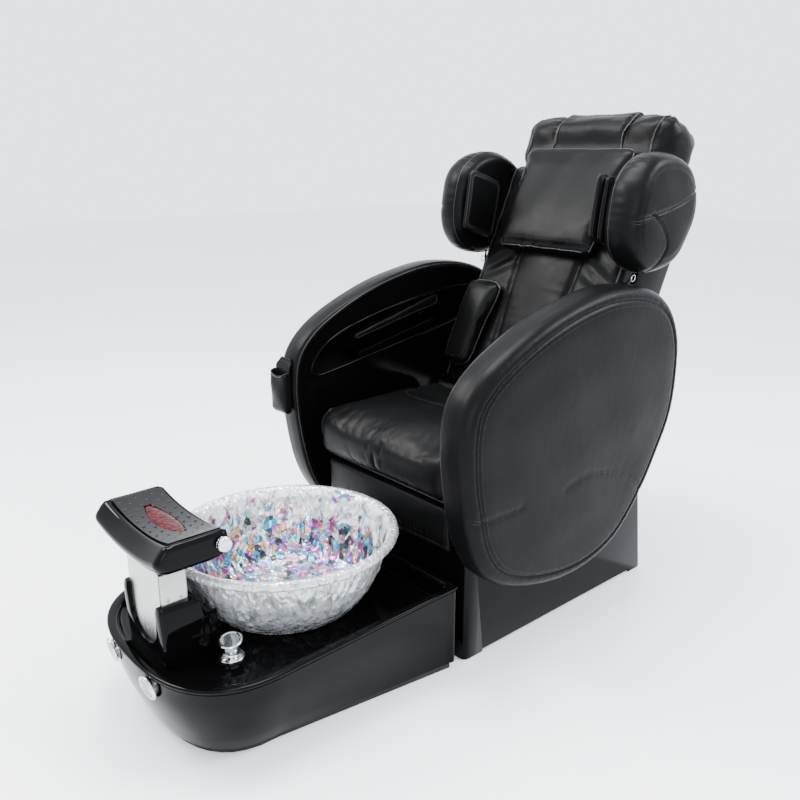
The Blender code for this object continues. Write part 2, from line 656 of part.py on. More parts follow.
def ellipse(half_x, half_y, z, count=44):
    return [(half_x * math.cos(2 * math.pi * i / count), BOWL_Y + half_y * math.sin(2 * math.pi * i / count), z)
            for i in range(count)]


def foot_bowl():
    low = DECK_HEIGHT + GAP
    outer = ((0.62, 0.0), (0.68, 0.07), (0.80, 0.30), (0.875, 0.62), (0.905, 0.84), (0.975, 0.90),
             (1.0, 0.94), (1.0, 0.975), (0.985, 1.0), (0.945, 0.995))
    inner = ((0.895, 0.93), (0.865, 0.75), (0.830, 0.55), (0.755, 0.28), (0.655, 0.10), (0.600, 0.055))
    rings = [ellipse(BOWL_HALF_X * share, BOWL_HALF_Y * share, low + BOWL_HEIGHT * rise)
             for share, rise in outer]
    for share, rise in inner:
        rings.append(ellipse(BOWL_HALF_X * share - 0.001, BOWL_HALF_Y * share - 0.001, low + BOWL_HEIGHT * rise))
    return loft("foot_bowl", RESIN, rings), low + BOWL_HEIGHT * inner[-1][1]


def drain(deck):
    """The bowl, its waste fitting through bowl and deck, and the pump below."""
    bowl, floor = foot_bowl()
    hole = turned("waste_hole", SHELL, ((DRAIN_RADIUS + 0.001, -0.1), (DRAIN_RADIUS + 0.001, 0.1)),
                  (0, BOWL_Y, DECK_HEIGHT), count=24)
    cut(bowl, hole)
    cut(deck, hole)
    turned("bowl_drain", CHROME, ((DRAIN_RADIUS, -0.090), (DRAIN_RADIUS, GAP), (0.034, GAP), (0.036, 0.002),
                                  (0.030, 0.005), (0.012, 0.004)), (0, BOWL_Y, floor), count=24)
    box("drain_pump", PLASTIC, (-0.055, BOWL_Y - 0.055, 0.0403), (0.055, BOWL_Y + 0.075, 0.105), 0.010)


def mixer(deck):
    """A single-lever mixer tap through the deck, its body below."""
    cut(deck, turned("mixer_hole", CHROME, ((MIXER_RADIUS - 0.003, -0.05), (MIXER_RADIUS - 0.003, 0.05)),
                     (MIXER_X, MIXER_Y, DECK_HEIGHT), count=24))
    flange = DECK_HEIGHT + GAP
    turned("mixer_base", CHROME, ((0.012, -0.070), (0.012, 0), (0.031, 0), (0.031, 0.003), (0.027, 0.006),
                                  (MIXER_RADIUS, 0.008), (MIXER_RADIUS, 0.016)), (MIXER_X, MIXER_Y, flange))
    top = flange + 0.016 + GAP
    cap = turned("mixer_handle", CHROME, ((0.0175, 0), (0.019, 0.006), (0.027, 0.026), (0.029, 0.030),
                                          (0.024, 0.034)), (MIXER_X, MIXER_Y, top))
    lever = prism("mixer_lever", CHROME, rounded([(-0.008, 0.004), (0.008, 0.004), (0.008, 0.012), (-0.008, 0.012)],
                                                 0.003, 2), 0.0, 0.050, along="Y")
    lever.data.transform(Matrix.Translation((MIXER_X, MIXER_Y, top)) @ Matrix.Rotation(math.radians(-145), 4, "Z")
                         @ Matrix.Rotation(math.radians(-10), 4, "X"))
    cut(cap, lever, "UNION")
    carry("mixer_turn", (MIXER_X, MIXER_Y, top), cap)


def nose_frame():
    """Where each push button sits on the nose, and the way its face looks: out and a little down."""
    half = TUB_HALF - 0.006
    share = (BUTTON_Z - TUB_KICK) / (rim_height(TUB_NOSE) - TUB_KICK)
    nose = TUB_NOSE + TUB_FLARE * 0.9 * (1 - share) ** 2 * 0.6
    depth = (1 - (BUTTON_X / half) ** NOSE_POWER) ** (1 / NOSE_POWER)
    y = TUB_SHOULDER - (TUB_SHOULDER - nose) * depth
    return y, Vector((0.10, -1.0, -0.22)).normalized()


def buttons(skirt):
    y, outward = nose_frame()
    for side, word in SIDES:
        direction = Vector((outward.x * side, outward.y, outward.z))
        place = Vector((side * BUTTON_X, y, BUTTON_Z)) + direction * 0.0035
        tail = BEZEL_RADIUS - 0.007
        cut(skirt, turned("button_hole_" + word, CHROME, ((tail + 0.0006, -0.06), (tail + 0.0006, 0.03)), place,
                          direction, 28))
        bore = BUTTON_RADIUS + 0.0006
        profile = ((bore, -0.013), (tail, -0.013), (tail, 0.0), (BEZEL_RADIUS, 0.0), (BEZEL_RADIUS, 0.003),
                   (BEZEL_RADIUS - 0.003, 0.006), (BEZEL_RADIUS - 0.007, 0.006), (bore, 0.004))
        turn = Vector((0, 0, 1)).rotation_difference(direction).to_matrix()
        rings = [[place + turn @ Vector((radius * math.cos(2 * math.pi * i / 28),
                                         radius * math.sin(2 * math.pi * i / 28), height)) for i in range(28)]
                 for radius, height in profile]
        loft("button_bezel_" + word, CHROME, rings, closed=True)
        cap = turned("air_button_" + word, CHROME, ((BUTTON_RADIUS, -0.008), (BUTTON_RADIUS, 0.006),
                                                    (BUTTON_RADIUS - 0.002, 0.008), (0.011, 0.008),
                                                    (0.009, 0.0065)), place, direction, 28)
        carry("button_press_" + word, place, cap)


def pedestal():
    """The black shroud with its notched front, and the stainless column inside with the tilt hinge's ears."""
    low = DECK_HEIGHT + GAP
    rear = COLUMN_FRONT + COLUMN_DEPTH
    wall = 0.0075
    half = COLUMN_HALF + wall
    rings = [rectangle_ring(half + 0.008, COLUMN_FRONT - wall, rear + 0.078, low, 0.014),
             rectangle_ring(half + 0.009, COLUMN_FRONT - wall - 0.003, rear + 0.053, low + 0.060, 0.014),
             rectangle_ring(half + 0.007, COLUMN_FRONT - wall - 0.005, rear + 0.024, SHROUD_TOP - 0.012, 0.012),
             rectangle_ring(half + 0.003, COLUMN_FRONT - wall - 0.002, rear + 0.012, SHROUD_TOP, 0.010),
             rectangle_ring(COLUMN_HALF + 0.001, COLUMN_FRONT - 0.001, rear + 0.001, SHROUD_TOP, 0.006),
             rectangle_ring(COLUMN_HALF + 0.001, COLUMN_FRONT - 0.001, rear + 0.001, low, 0.006)]
    shroud = loft("pedestal_shroud", SHELL, rings, closed=True)
    reach = COLUMN_HALF - 0.012
    notch = [(reach * math.cos(a), SHROUD_TOP - 0.055 + reach * 0.85 * math.sin(a))
             for a in (math.pi * (1 + i / 10) for i in range(11))]
    notch += [(reach + 0.005, SHROUD_TOP + 0.02), (-reach - 0.005, SHROUD_TOP + 0.02)]
    cut(shroud, prism("notch", SHELL, notch, COLUMN_FRONT - 0.05, COLUMN_FRONT + 0.012, along="Y"))
    inner = COLUMN_WALL
    column = loft("column", STAINLESS, [
        rectangle_ring(COLUMN_HALF, COLUMN_FRONT, rear, low, 0.006),
        rectangle_ring(COLUMN_HALF, COLUMN_FRONT, rear, COLUMN_TOP, 0.006),
        rectangle_ring(COLUMN_HALF - inner, COLUMN_FRONT + inner, rear - inner, COLUMN_TOP, 0.004),
        rectangle_ring(COLUMN_HALF - inner, COLUMN_FRONT + inner, rear - inner, low, 0.004)], closed=True)
    for side, word in SIDES:
        x = sorted((side * (COLUMN_HALF - inner / 2), side * (COLUMN_HALF - inner - 0.005)))
        outline = rounded([(REST_Y - 0.020, COLUMN_TOP - 0.060), (REST_Y - 0.004, COLUMN_TOP - 0.060),
                           (REST_Y - 0.004, REST_PIVOT_Z + 0.0065), (REST_Y - 0.020, REST_PIVOT_Z + 0.0065)], 0.003, 2)
        cut(column, prism("footrest_ear_" + word, STEEL, outline, x[0], x[1]), "UNION")
        cut(column, turned("ear_hole_" + word, STEEL, ((0.0045, -0.02), (0.0045, 0.02)),
                           (x[0], REST_Y - 0.012, REST_PIVOT_Z), (1, 0, 0), 20))


# ---- Footrest --------------------------------------------------------------------------------

def rest_section(share, low, high, front, rear):
    """(y, z) points of the footrest's section: a flat top, round edges and a narrower underside."""
    lift = REST_RISE * abs(share) ** 2.2
    under = REST_RISE * abs(share) ** 2.2
    return [(front + 0.014, low + under + 0.010), (front + 0.030, low + under), (rear - 0.030, low + under),
            (rear - 0.010, low + under + 0.014), (rear, low + under + 0.028), (rear - 0.006, high + lift - 0.003),
            (rear - 0.016, high + lift), (front + 0.030, high + lift), (front + 0.014, high + lift - 0.005),
            (front, low + under + 0.030)]


def saddle(name, finish, places, edges, low, high):
    """A slab on the footrest's dished top: at each x, from low to high above the dish, between its two edges."""
    rings = []
    for x in places:
        front, rear = edges(x)
        lift = REST_BOTTOM + REST_THICK + REST_RISE * abs(x / REST_HALF) ** 2.2
        rings.append([(x, front, lift + low), (x, rear, lift + low), (x, rear, lift + high), (x, front, lift + high)])
    return loft(name, finish, rings)


def footrest():
    front, rear = REST_Y - REST_DEPTH / 2, REST_Y + REST_DEPTH / 2
    low, high = REST_BOTTOM, REST_BOTTOM + REST_THICK
    rings = []
    for share in (-1.0, -0.93, -0.75, -0.5, -0.25, 0.0, 0.25, 0.5, 0.75, 0.93, 1.0):
        squeeze = 0.35 if abs(share) == 1.0 else 0.0
        ring = rest_section(share, low, high, front, rear)
        middle = (sum(p[0] for p in ring) / len(ring), sum(p[1] for p in ring) / len(ring))
        rings.append([(share * REST_HALF, y + (middle[0] - y) * squeeze * 0.4, z + (middle[1] - z) * squeeze)
                      for y, z in ring])
    shell = loft("footrest_shell", SHELL, rings)
    pad_front, pad_rear, pad_half, deep = front + 0.040, rear - 0.014, REST_HALF * 0.88, 0.005
    lens_half, lens_depth = 0.105, 0.022
    lens_mid = (pad_front + pad_rear) / 2
    places = [pad_half * i / 8 for i in range(-8, 9)]
    lens_places = [x for x in places if abs(x) < lens_half]

    def pad_edges(clear):
        return lambda x: (pad_front - clear, pad_rear + clear)

    def lens_edges(clear):
        def edges(x):
            reach = lens_depth * (1 - (x / lens_half) ** 2) + 0.002 + clear
            return lens_mid - reach, lens_mid + reach
        return edges

    def stretched(row, clear):
        return [row[0] - clear] + row[1:-1] + [row[-1] + clear]

    cut(shell, saddle("pad_recess", SHELL, stretched(places, GAP), pad_edges(GAP), -deep, 0.020))
    pad = saddle("footrest_pad", PLASTIC, places, pad_edges(0), GAP - deep, 0.001)
    cut(pad, saddle("lens_recess", RED, stretched(lens_places, GAP), lens_edges(GAP), -0.002, 0.020))
    inlay = saddle("footrest_inlay", RED, lens_places, lens_edges(0), GAP - 0.002, 0.002)
    reach = COLUMN_HALF - COLUMN_WALL - 0.0005
    pin = turned("footrest_pin", STEEL, ((0.004, -reach), (0.004, reach)), (0, REST_Y - 0.012, REST_PIVOT_Z),
                 (1, 0, 0), 20)
    cut(pin, box("pin_block", STEEL, (0.023 - COLUMN_HALF, REST_Y - 0.026, REST_PIVOT_Z - 0.006),
                 (COLUMN_HALF - 0.023, REST_Y + 0.002, REST_BOTTOM - GAP)), "UNION")
    carry("footrest_tilt", (0, REST_Y - 0.012, REST_PIVOT_Z), shell, pad, inlay, pin)
    place = (REST_HALF + GAP, rear - 0.022, REST_BOTTOM + REST_THICK * 0.5 + REST_RISE)
    knob = turned("tilt_knob", CHROME, ((0.008, 0), (0.008, 0.003), (0.016, 0.004), (0.017, 0.006), (0.017, 0.014),
                                        (0.013, 0.018), (0.005, 0.018)), place, (1, 0, 0), 20)
    carry("knob_turn", place, knob)


def build():
    side_top = base()
    arms()
    remote_pocket()
    seat(side_top)
    backrest()
    recline_rod()
    head_pillow()
    tub()
    footrest()


build()
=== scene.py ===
import json
import math

import bmesh
import bpy
import numpy as np
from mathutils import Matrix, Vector, noise
from mathutils.bvhtree import BVHTree


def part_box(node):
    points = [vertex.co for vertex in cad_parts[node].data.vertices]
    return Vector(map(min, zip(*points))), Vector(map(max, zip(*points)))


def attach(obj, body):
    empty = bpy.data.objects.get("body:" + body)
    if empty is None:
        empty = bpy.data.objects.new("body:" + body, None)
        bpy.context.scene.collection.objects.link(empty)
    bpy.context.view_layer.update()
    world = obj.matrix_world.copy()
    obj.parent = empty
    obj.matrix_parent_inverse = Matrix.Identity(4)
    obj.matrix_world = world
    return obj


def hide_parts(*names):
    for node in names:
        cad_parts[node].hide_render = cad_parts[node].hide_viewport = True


# The looks of the pedicure spa chair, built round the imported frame.
# Metres, in the frame's own axes: +Z up, the sitter faces -Y, +X is the sitter's left.
# Back pieces are shaped in (x, up, out): across, up the backrest from its pivot, and out of its front.

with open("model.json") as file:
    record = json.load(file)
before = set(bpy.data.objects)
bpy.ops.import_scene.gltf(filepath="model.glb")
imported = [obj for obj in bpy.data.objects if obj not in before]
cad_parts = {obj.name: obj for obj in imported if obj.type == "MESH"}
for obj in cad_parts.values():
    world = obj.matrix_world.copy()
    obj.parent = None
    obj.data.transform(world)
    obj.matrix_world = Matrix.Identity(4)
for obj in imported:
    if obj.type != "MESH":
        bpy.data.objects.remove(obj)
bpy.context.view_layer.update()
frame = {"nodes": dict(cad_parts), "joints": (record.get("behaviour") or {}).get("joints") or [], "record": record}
NODES = frame["nodes"]
JOINTS = {joint["name"]: joint for joint in frame["joints"]}
SIDES = ((1, "left"), (-1, "right"))

PIVOT = Vector(JOINTS["recline"]["pos_m"])
UP = Vector(JOINTS["carriage_travel"]["axis"]).normalized()
OUT = Vector((0, -UP.z, UP.y))
BACK_BODIES = ("backrest", "head_pillow")


# ---- Placing ---------------------------------------------------------------------------------

def to_world(points):
    """(x, up, out) to row frame."""
    points = np.asarray(points, float)
    return (np.array(PIVOT) + points[:, :1] * np.array((1.0, 0, 0)) + points[:, 1:2] * np.array(UP)
            + points[:, 2:3] * np.array(OUT))


def to_back(points):
    """Row frame to (x, up, out)."""
    moved = np.asarray(points, float) - np.array(PIVOT)
    return np.stack([moved[:, 0], moved @ np.array(UP), moved @ np.array(OUT)], axis=1)


def node_points(node):
    return np.array([v.co for v in NODES[node].data.vertices], float)


def node_corners(node):
    """A node's low and high corners, half its size, and its middle."""
    low, high = map(np.array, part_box(node))
    return low, high, (high - low) / 2, (high + low) / 2


def back_box(node):
    """The low and high corners of a node in (x, up, out)."""
    points = to_back(node_points(node))
    return points.min(0), points.max(0)


def smoothstep(low, high, value):
    t = np.clip((value - low) / (high - low), 0, 1)
    return t * t * (3 - 2 * t)


# ---- Materials -------------------------------------------------------------------------------

class Nodes:
    """A short way to write a node tree."""

    def __init__(self, name):
        self.material = bpy.data.materials.new(name)
        self.material.use_nodes = True
        self.tree = self.material.node_tree
        self.shader = self.tree.nodes["Principled BSDF"]
        self.place = self.add("ShaderNodeTexCoord").outputs["Object"]

    def add(self, kind, settings=None, **sockets):
        node = self.tree.nodes.new(kind)
        for key, value in (settings or {}).items():
            setattr(node, key, value)
        self.fill(node, sockets)
        return node

    def fill(self, node, sockets):
        for key, value in sockets.items():
            socket = node.inputs[key.replace("_", " ")]
            if isinstance(value, bpy.types.NodeSocket):
                self.tree.links.new(value, socket)
            else:
                socket.default_value = value

    def set(self, **sockets):
        self.fill(self.shader, sockets)

    def noise(self, scale, detail=3.0, rough=0.5, place=None, distortion=0.0):
        return self.add("ShaderNodeTexNoise", Vector=place or self.place, Scale=scale, Detail=detail,
                        Roughness=rough, Distortion=distortion).outputs["Fac"]

    def cells(self, scale, feature="F1", place=None, output="Distance"):
        node = self.add("ShaderNodeTexVoronoi", {"feature": feature}, Vector=place or self.place, Scale=scale)
        return node.outputs[output]

    def ramp(self, value, stops):
        node = self.add("ShaderNodeValToRGB", Fac=value)
        elements = node.color_ramp.elements
        while len(elements) < len(stops):
            elements.new(0.5)
        for element, (position, colour) in zip(elements, stops):
            element.position = position
            element.color = (*colour, 1.0) if len(colour) == 3 else colour
        return node.outputs["Color"]

    def span(self, value, low, high, start=0.0, end=1.0):
        return self.add("ShaderNodeMapRange", Value=value, From_Min=start, From_Max=end, To_Min=low,
                        To_Max=high).outputs["Result"]

    def bump(self, *layers):
        """(height, distance) pairs, coarse first."""
        normal = None
        for height, distance in layers:
            node = self.add("ShaderNodeBump", Height=height, Distance=distance, Strength=1.0)
            if normal is not None:
                self.tree.links.new(normal, node.inputs["Normal"])
            normal = node.outputs["Normal"]
        self.tree.links.new(normal, self.shader.inputs["Normal"])


def leather_look(name, dark, light, smooth, rough, sheen=0.05):
    n = Nodes(name)
    broad = n.noise(7.0, 3.0)
    n.set(Base_Color=n.ramp(broad, ((0.3, dark), (0.7, light))), Specular_IOR_Level=sheen,
          Roughness=n.span(n.noise(38.0, 4.0), smooth, rough, 0.3, 0.7))
    n.bump((n.noise(24.0, 2.0, 0.5, None, 0.4), 0.0006), (n.cells(520.0, "DISTANCE_TO_EDGE"), 0.00022),
           (n.noise(1400.0, 2.0), 0.00008))
    return n.material


def gloss_look(name, colour, rough=0.07):
    n = Nodes(name)
    n.set(Base_Color=n.ramp(n.noise(3.0, 2.0), ((0.3, colour), (0.7, tuple(c * 1.5 for c in colour)))),
          Roughness=n.span(n.noise(55.0, 5.0, 0.7), rough, rough * 1.9, 0.35, 0.75))
    n.shader.inputs["Specular IOR Level"].default_value = 0.06
    n.bump((n.noise(11.0, 1.0), 0.0006), (n.noise(240.0, 2.0), 0.00001))
    return n.material


def steel_look(name, colour, low, high, lines=(700, 700, 5)):
    n = Nodes(name)
    stretched = n.add("ShaderNodeMapping", Vector=n.place, Scale=lines).outputs["Vector"]
    hair = n.noise(1.0, 4.0, 0.6, stretched)
    n.set(Base_Color=n.ramp(hair, ((0.3, tuple(c * 0.86 for c in colour)), (0.7, colour))), Metallic=1.0,
          Roughness=n.span(hair, low, high, 0.3, 0.7))
    n.bump((n.noise(9.0, 1.0), 0.0008), (hair, 0.00003))
    return n.material


def chrome_look():
    n = Nodes("look_chrome")
    n.set(Base_Color=n.ramp(n.noise(30.0), ((0.3, (0.50, 0.51, 0.52)), (0.7, (0.62, 0.62, 0.62)))),
          Metallic=1.0,
          Roughness=n.span(n.noise(90.0, 5.0, 0.7), 0.05, 0.16, 0.4, 0.8))
    n.bump((n.noise(60.0, 2.0), 0.0001),)
    return n.material


def plastic_look(name, colour, rough, grain=380.0):
    n = Nodes(name)
    n.set(Base_Color=n.ramp(n.noise(12.0), ((0.3, colour), (0.7, tuple(c * 1.4 for c in colour)))),
          Roughness=n.span(n.noise(70.0, 4.0), rough * 0.85, rough * 1.15, 0.3, 0.7), Specular_IOR_Level=0.12)
    n.bump((n.cells(grain), 0.00012),)
    return n.material


def bowl_look(name, inside):
    """Hammered clear resin. The inside holds flakes of film in several colours, thickest low down."""
    n = Nodes(name)
    streaks = n.add("ShaderNodeMapping", Vector=n.place, Scale=(1.0, 1.0, 0.55)).outputs["Vector"]
    flake = n.cells(66.0, "F1", n.add("ShaderNodeMapping", Vector=n.place,
                                      Scale=(1.0, 1.0, 0.7)).outputs["Vector"], "Color")
    flake = n.add("ShaderNodeSeparateColor", Color=flake).outputs["Red"]
    pale = n.ramp(n.noise(21.0, 3.0, 0.55, streaks, 3.0),
                  ((0.30, (0.36, 0.39, 0.39)), (0.44, (0.60, 0.66, 0.66)), (0.52, (0.88, 0.92, 0.90)),
                                                         (0.58, (0.74, 0.66, 0.80)),
                                                         (0.64, (0.90, 0.96, 0.92)),
                                                         (0.75, (0.55, 0.60, 0.62))))
    hues = n.ramp(flake, ((0.0, (0.01, 0.14, 0.30)), (0.13, (0.04, 0.36, 0.42)), (0.25, (0.22, 0.05, 0.36)),
                          (0.36, (0.55, 0.36, 0.09)),
                          (0.46, (0.48, 0.08, 0.30)), (0.56, (0.006, 0.008, 0.02)),
                          (0.66, (0.015, 0.03, 0.05)), (0.76, (0.62, 0.52, 0.40)),
                          (0.86, (0.08, 0.14, 0.52)), (0.94, (0.80, 0.84, 0.82))))
    patches = n.noise(13.0, 4.0, 0.6, None, 1.4)
    if inside:
        low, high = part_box("foot_bowl")
        level = n.add("ShaderNodeSeparateXYZ", Vector=n.place).outputs["Z"]
        reach = n.span(level, 0.85, -0.15, low.z, high.z - 0.010)
        share = n.add("ShaderNodeMath", {"operation": "ADD"}, Value=reach).outputs[0]
        n.tree.links.new(n.span(patches, -0.50, 0.60, 0.30, 0.70), share.node.inputs[1])
        share = n.span(share, 0.0, 1.0, 0.10, 0.34)
    else:
        share = n.span(patches, 0.0, 0.45, 0.56, 0.80)
    mixed = n.add("ShaderNodeMix", {"data_type": "RGBA"})
    for socket, value in ((0, share), (6, pale), (7, hues)):
        n.tree.links.new(value, mixed.inputs[socket])
    n.set(Base_Color=mixed.outputs[2], Roughness=n.span(n.noise(140.0), 0.04, 0.12, 0.3, 0.7),
          Metallic=n.span(share, 0.25, 0.70))
    n.shader.inputs["IOR"].default_value = 1.50
    n.shader.inputs["Transmission Weight"].default_value = 0.10 if inside else 0.60
    n.shader.inputs["Coat Weight"].default_value = 0.5
    n.shader.inputs["Coat Roughness"].default_value = 0.02
    n.bump((n.noise(20.0, 1.0, 0.5, streaks, 3.0), 0.0080), (n.cells(70.0, "F1", streaks), 0.0022))
    return n.material


def lens_look():
    n = Nodes("look_lens")
    n.set(Base_Color=n.ramp(n.cells(90.0), ((0.1, (0.075, 0.0006, 0.003)), (0.7, (0.012, 0.0002, 0.0008)))),
          Roughness=0.12,
          Specular_IOR_Level=0.08)
    n.bump((n.cells(110.0), 0.0006),)
    return n.material


LEATHER = leather_look("look_leather", (0.0018, 0.0018, 0.0019), (0.0030, 0.0031, 0.0032), 0.28, 0.36)
# The stitches' light grey is a painted highlight. It stands in for the light the thread catches along the seams.
THREAD_PAINTED_HIGHLIGHT = plastic_look("look_thread_painted_highlight", (0.020, 0.020, 0.021), 0.45, 900.0)
# The piping's base is lighter than the leather's. This is a painted highlight along the welts. The welts themselves
# are real geometry.
PIPING_PAINTED_HIGHLIGHT = leather_look("look_piping_painted_highlight", (0.006, 0.006, 0.006), (0.010, 0.010, 0.010), 0.26, 0.34, 0.22)
GLOSS = gloss_look("look_gloss", (0.0009, 0.0009, 0.0010), 0.05)
SATIN = gloss_look("look_satin", (0.0010, 0.0010, 0.0011), 0.12)
STEEL = steel_look("look_stainless", (0.40, 0.40, 0.385), 0.22, 0.34)
POWDER = plastic_look("look_powder_coat", (0.040, 0.042, 0.045), 0.50, 700.0)
CHROME = chrome_look()
PLASTIC = plastic_look("look_plastic", (0.012, 0.012, 0.013), 0.36)
TEXTURED = plastic_look("look_textured_pad", (0.0030, 0.0029, 0.0029), 0.30, 190.0)
BOARD = plastic_look("look_board", (0.020, 0.018, 0.016), 0.60, 120.0)
LENS = lens_look()
BOWL_OUT = bowl_look("look_bowl_outside", False)
BOWL_IN = bowl_look("look_bowl_inside", True)
LOOKS = {"black_leather": LEATHER, "gloss_black_shell": GLOSS, "brushed_stainless": STEEL, "chrome": CHROME,
         "clear_resin": BOWL_OUT, "painted_steel": POWDER, "black_plastic": PLASTIC, "red_lens": LENS,
         "black_plywood": BOARD}


# ---- Mesh helpers ----------------------------------------------------------------------------

def linked(name, data):
    """A new object in the scene."""
    made = bpy.data.objects.new(name, data)
    bpy.context.scene.collection.objects.link(made)
    return made


def raw_mesh(name, points, faces):
    mesh = bpy.data.meshes.new(name)
    mesh.from_pydata(np.asarray(points, float).tolist(), [], [list(map(int, face)) for face in faces])
    return mesh


def outward_mesh(name, points, faces):
    """A mesh with its faces turned outwards."""
    mesh = raw_mesh(name, points, faces)
    bm = bmesh.new()
    bm.from_mesh(mesh)
    bmesh.ops.recalc_face_normals(bm, faces=bm.faces)
    bm.to_mesh(mesh)
    bm.free()
    return mesh


def with_modifiers(made):
    """A new mesh with the object's modifiers applied."""
    return bpy.data.meshes.new_from_object(made.evaluated_get(bpy.context.evaluated_depsgraph_get()))


def shaded(mesh, sharp):
    """Smooth shading, broken where two faces meet at more than this angle in degrees."""
    mesh.shade_smooth()
    if sharp:
        mesh.set_sharp_from_angle(angle=math.radians(sharp))


def piece(name, points, faces, body, slot, stands_for=(), looks=None, face_looks=None, sharp=None, fill=None):
    """Makes one mesh piece in the row frame, riding on a body."""
    mesh = outward_mesh(name, points, faces)
    shaded(mesh, sharp)
    for look in looks or (LOOKS[slot],):
        mesh.materials.append(look)
    if face_looks is not None:
        mesh.polygons.foreach_set("material_index", np.asarray(face_looks, np.int32))
    made = linked(name, mesh)
    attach(made, body)
    if stands_for:
        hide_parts(*stands_for)
    return made


def cushion(node, points, faces, body, fill):
    """Shows a padded leather piece in its node's place. The backrest's are given in (x, up, out)."""
    if body in BACK_BODIES:
        points = to_world(points)
    piece(node + "_look", points, faces, body, "black_leather", (node,), fill=fill)


def joined(parts):
    """Several (points, faces) pairs as one."""
    points, faces, start = [], [], 0
    for part_points, part_faces in parts:
        points.append(np.asarray(part_points, float))
        faces += [tuple(start + i for i in face) for face in part_faces]
        start += len(part_points)
    return np.concatenate(points), faces


def round_angles(count):
    return np.linspace(0, 2 * math.pi, count, endpoint=False)


def at_level(line, level):
    """A flat line's points, with the same last coordinate for all."""
    return np.hstack([line, np.full((len(line), 1), level)])


def at_side(line, x):
    """A flat line's points, with the same x for all."""
    return np.column_stack([np.full(len(line), x), line])


def normals(points, faces):
    """Area-weighted normals at the points."""
    points = np.asarray(points, float)
    total = np.zeros_like(points)
    for size in {len(face) for face in faces}:
        group = np.array([face for face in faces if len(face) == size])
        corner = points[group]
        if size == 3:
            normal = np.cross(corner[:, 1] - corner[:, 0], corner[:, 2] - corner[:, 0])
        else:
            normal = np.cross(corner[:, 2] - corner[:, 0], corner[:, 3] - corner[:, 1])
        for k in range(size):
            np.add.at(total, group[:, k], normal)
    return total / np.maximum(np.linalg.norm(total, axis=1, keepdims=True), 1e-12)


def block(low, high, step, radius):
    """A box between two corners with rounded edges, as an even grid of quads facing out."""
    low, high = np.asarray(low, float), np.asarray(high, float)
    half, middle = (high - low) / 2, (high + low) / 2
    counts = [max(2, int(math.ceil(2 * h / step))) for h in half]
    points, faces = [], []
    for axis in range(3):
        a, b = (axis + 1) % 3, (axis + 2) % 3
        for side in (-1, 1):
            start = len(points)
            for i in range(counts[a] + 1):
                for j in range(counts[b] + 1):
                    point = [0.0, 0.0, 0.0]
                    point[axis] = side * half[axis]
                    point[a] = half[a] * (2 * i / counts[a] - 1)
                    point[b] = half[b] * (2 * j / counts[b] - 1)
                    points.append(point)
            for i in range(counts[a]):
                for j in range(counts[b]):
                    corner = start + i * (counts[b] + 1) + j
                    quad = [corner, corner + counts[b] + 1, corner + counts[b] + 2, corner + 1]
                    faces.append(quad if side > 0 else quad[::-1])
    points = np.array(points)
    _, first, index = np.unique(np.round(points, 7), axis=0, return_index=True, return_inverse=True)
    points, faces = points[first], index.reshape(-1)[np.array(faces)]
    radius = np.minimum(radius, half * 0.98)
    core = np.clip(points, -(half - radius), half - radius)
    reach = (points - core) / radius
    length = np.maximum(np.linalg.norm(reach, axis=1, keepdims=True), 1e-9)
    return middle + core + reach / length * radius, faces


def rings(stack, closed=False, caps=True):
    """Skins rings of equal count into points and quads, fanning the ends."""
    count = len(stack[0])
    points = np.concatenate([np.asarray(ring, float) for ring in stack])
    faces = []
    last = len(stack) if closed else len(stack) - 1
    for k in range(last):
        here, there = k * count, (k + 1) % len(stack) * count
        for i in range(count):
            j = (i + 1) % count
            faces.append((here + i, here + j, there + j, there + i))
    if caps and not closed:
        for start, turn in ((0, -1), ((len(stack) - 1) * count, 1)):
            centre = points[start:start + count].mean(0)
            points = np.vstack([points, centre])
            for i in range(count):
                tri = (start + i, start + (i + 1) % count, len(points) - 1)
                faces.append(tri[::turn])
    return points, faces


def turned(profile, place, direction=(0, 0, 1), count=64, ribs=None):
    """Points and faces of a solid of revolution, from (radius, height) pairs."""
    turn = np.array(Vector((0, 0, 1)).rotation_difference(Vector(direction)).to_matrix())
    angle = np.arange(count) * 2 * math.pi / count
    stack = []
    for radius, height in profile:
        reach = np.full(count, radius) if ribs is None else radius + ribs(angle, height)
        local = np.stack([reach * np.cos(angle), reach * np.sin(angle), np.full(count, height)], axis=1)
        stack.append(np.asarray(place, float) + local @ turn.T)
    return rings(stack)


def hull(points):
    points = sorted(map(tuple, np.round(points, 6)))

    def half(ordered):
        line = []
        for p in ordered:
            while len(line) > 1 and ((line[-1][0] - line[-2][0]) * (p[1] - line[-2][1])
                                     - (line[-1][1] - line[-2][1]) * (p[0] - line[-2][0])) <= 0:
                line.pop()
            line.append(p)
        return line[:-1]
    return np.array(half(points) + half(points[::-1]))


def even(line, count, closed=True):
    """The line again with its points evenly spaced."""
    line = np.asarray(line, float)
    whole = np.vstack([line, line[:1]]) if closed else line
    run = np.concatenate([[0], np.cumsum(np.linalg.norm(np.diff(whole, axis=0), axis=1))])
    at = np.linspace(0, run[-1], count + 1)[:-1] if closed else np.linspace(0, run[-1], count)
    return np.stack([np.interp(at, run, whole[:, k]) for k in range(whole.shape[1])], axis=1)


def outline_of(points, count, soften=8):
    """The smooth outer outline of a flat set of points, anticlockwise."""
    line = even(hull(points), count)
    for _ in range(soften):
        line = (np.roll(line, 1, 0) + line * 2 + np.roll(line, -1, 0)) / 4
    return line


def inset(line, distance):
    run = np.roll(line, -1, 0) - np.roll(line, 1, 0)
    run /= np.linalg.norm(run, axis=1, keepdims=True)
    return line + np.stack([-run[:, 1], run[:, 0]], axis=1) * distance


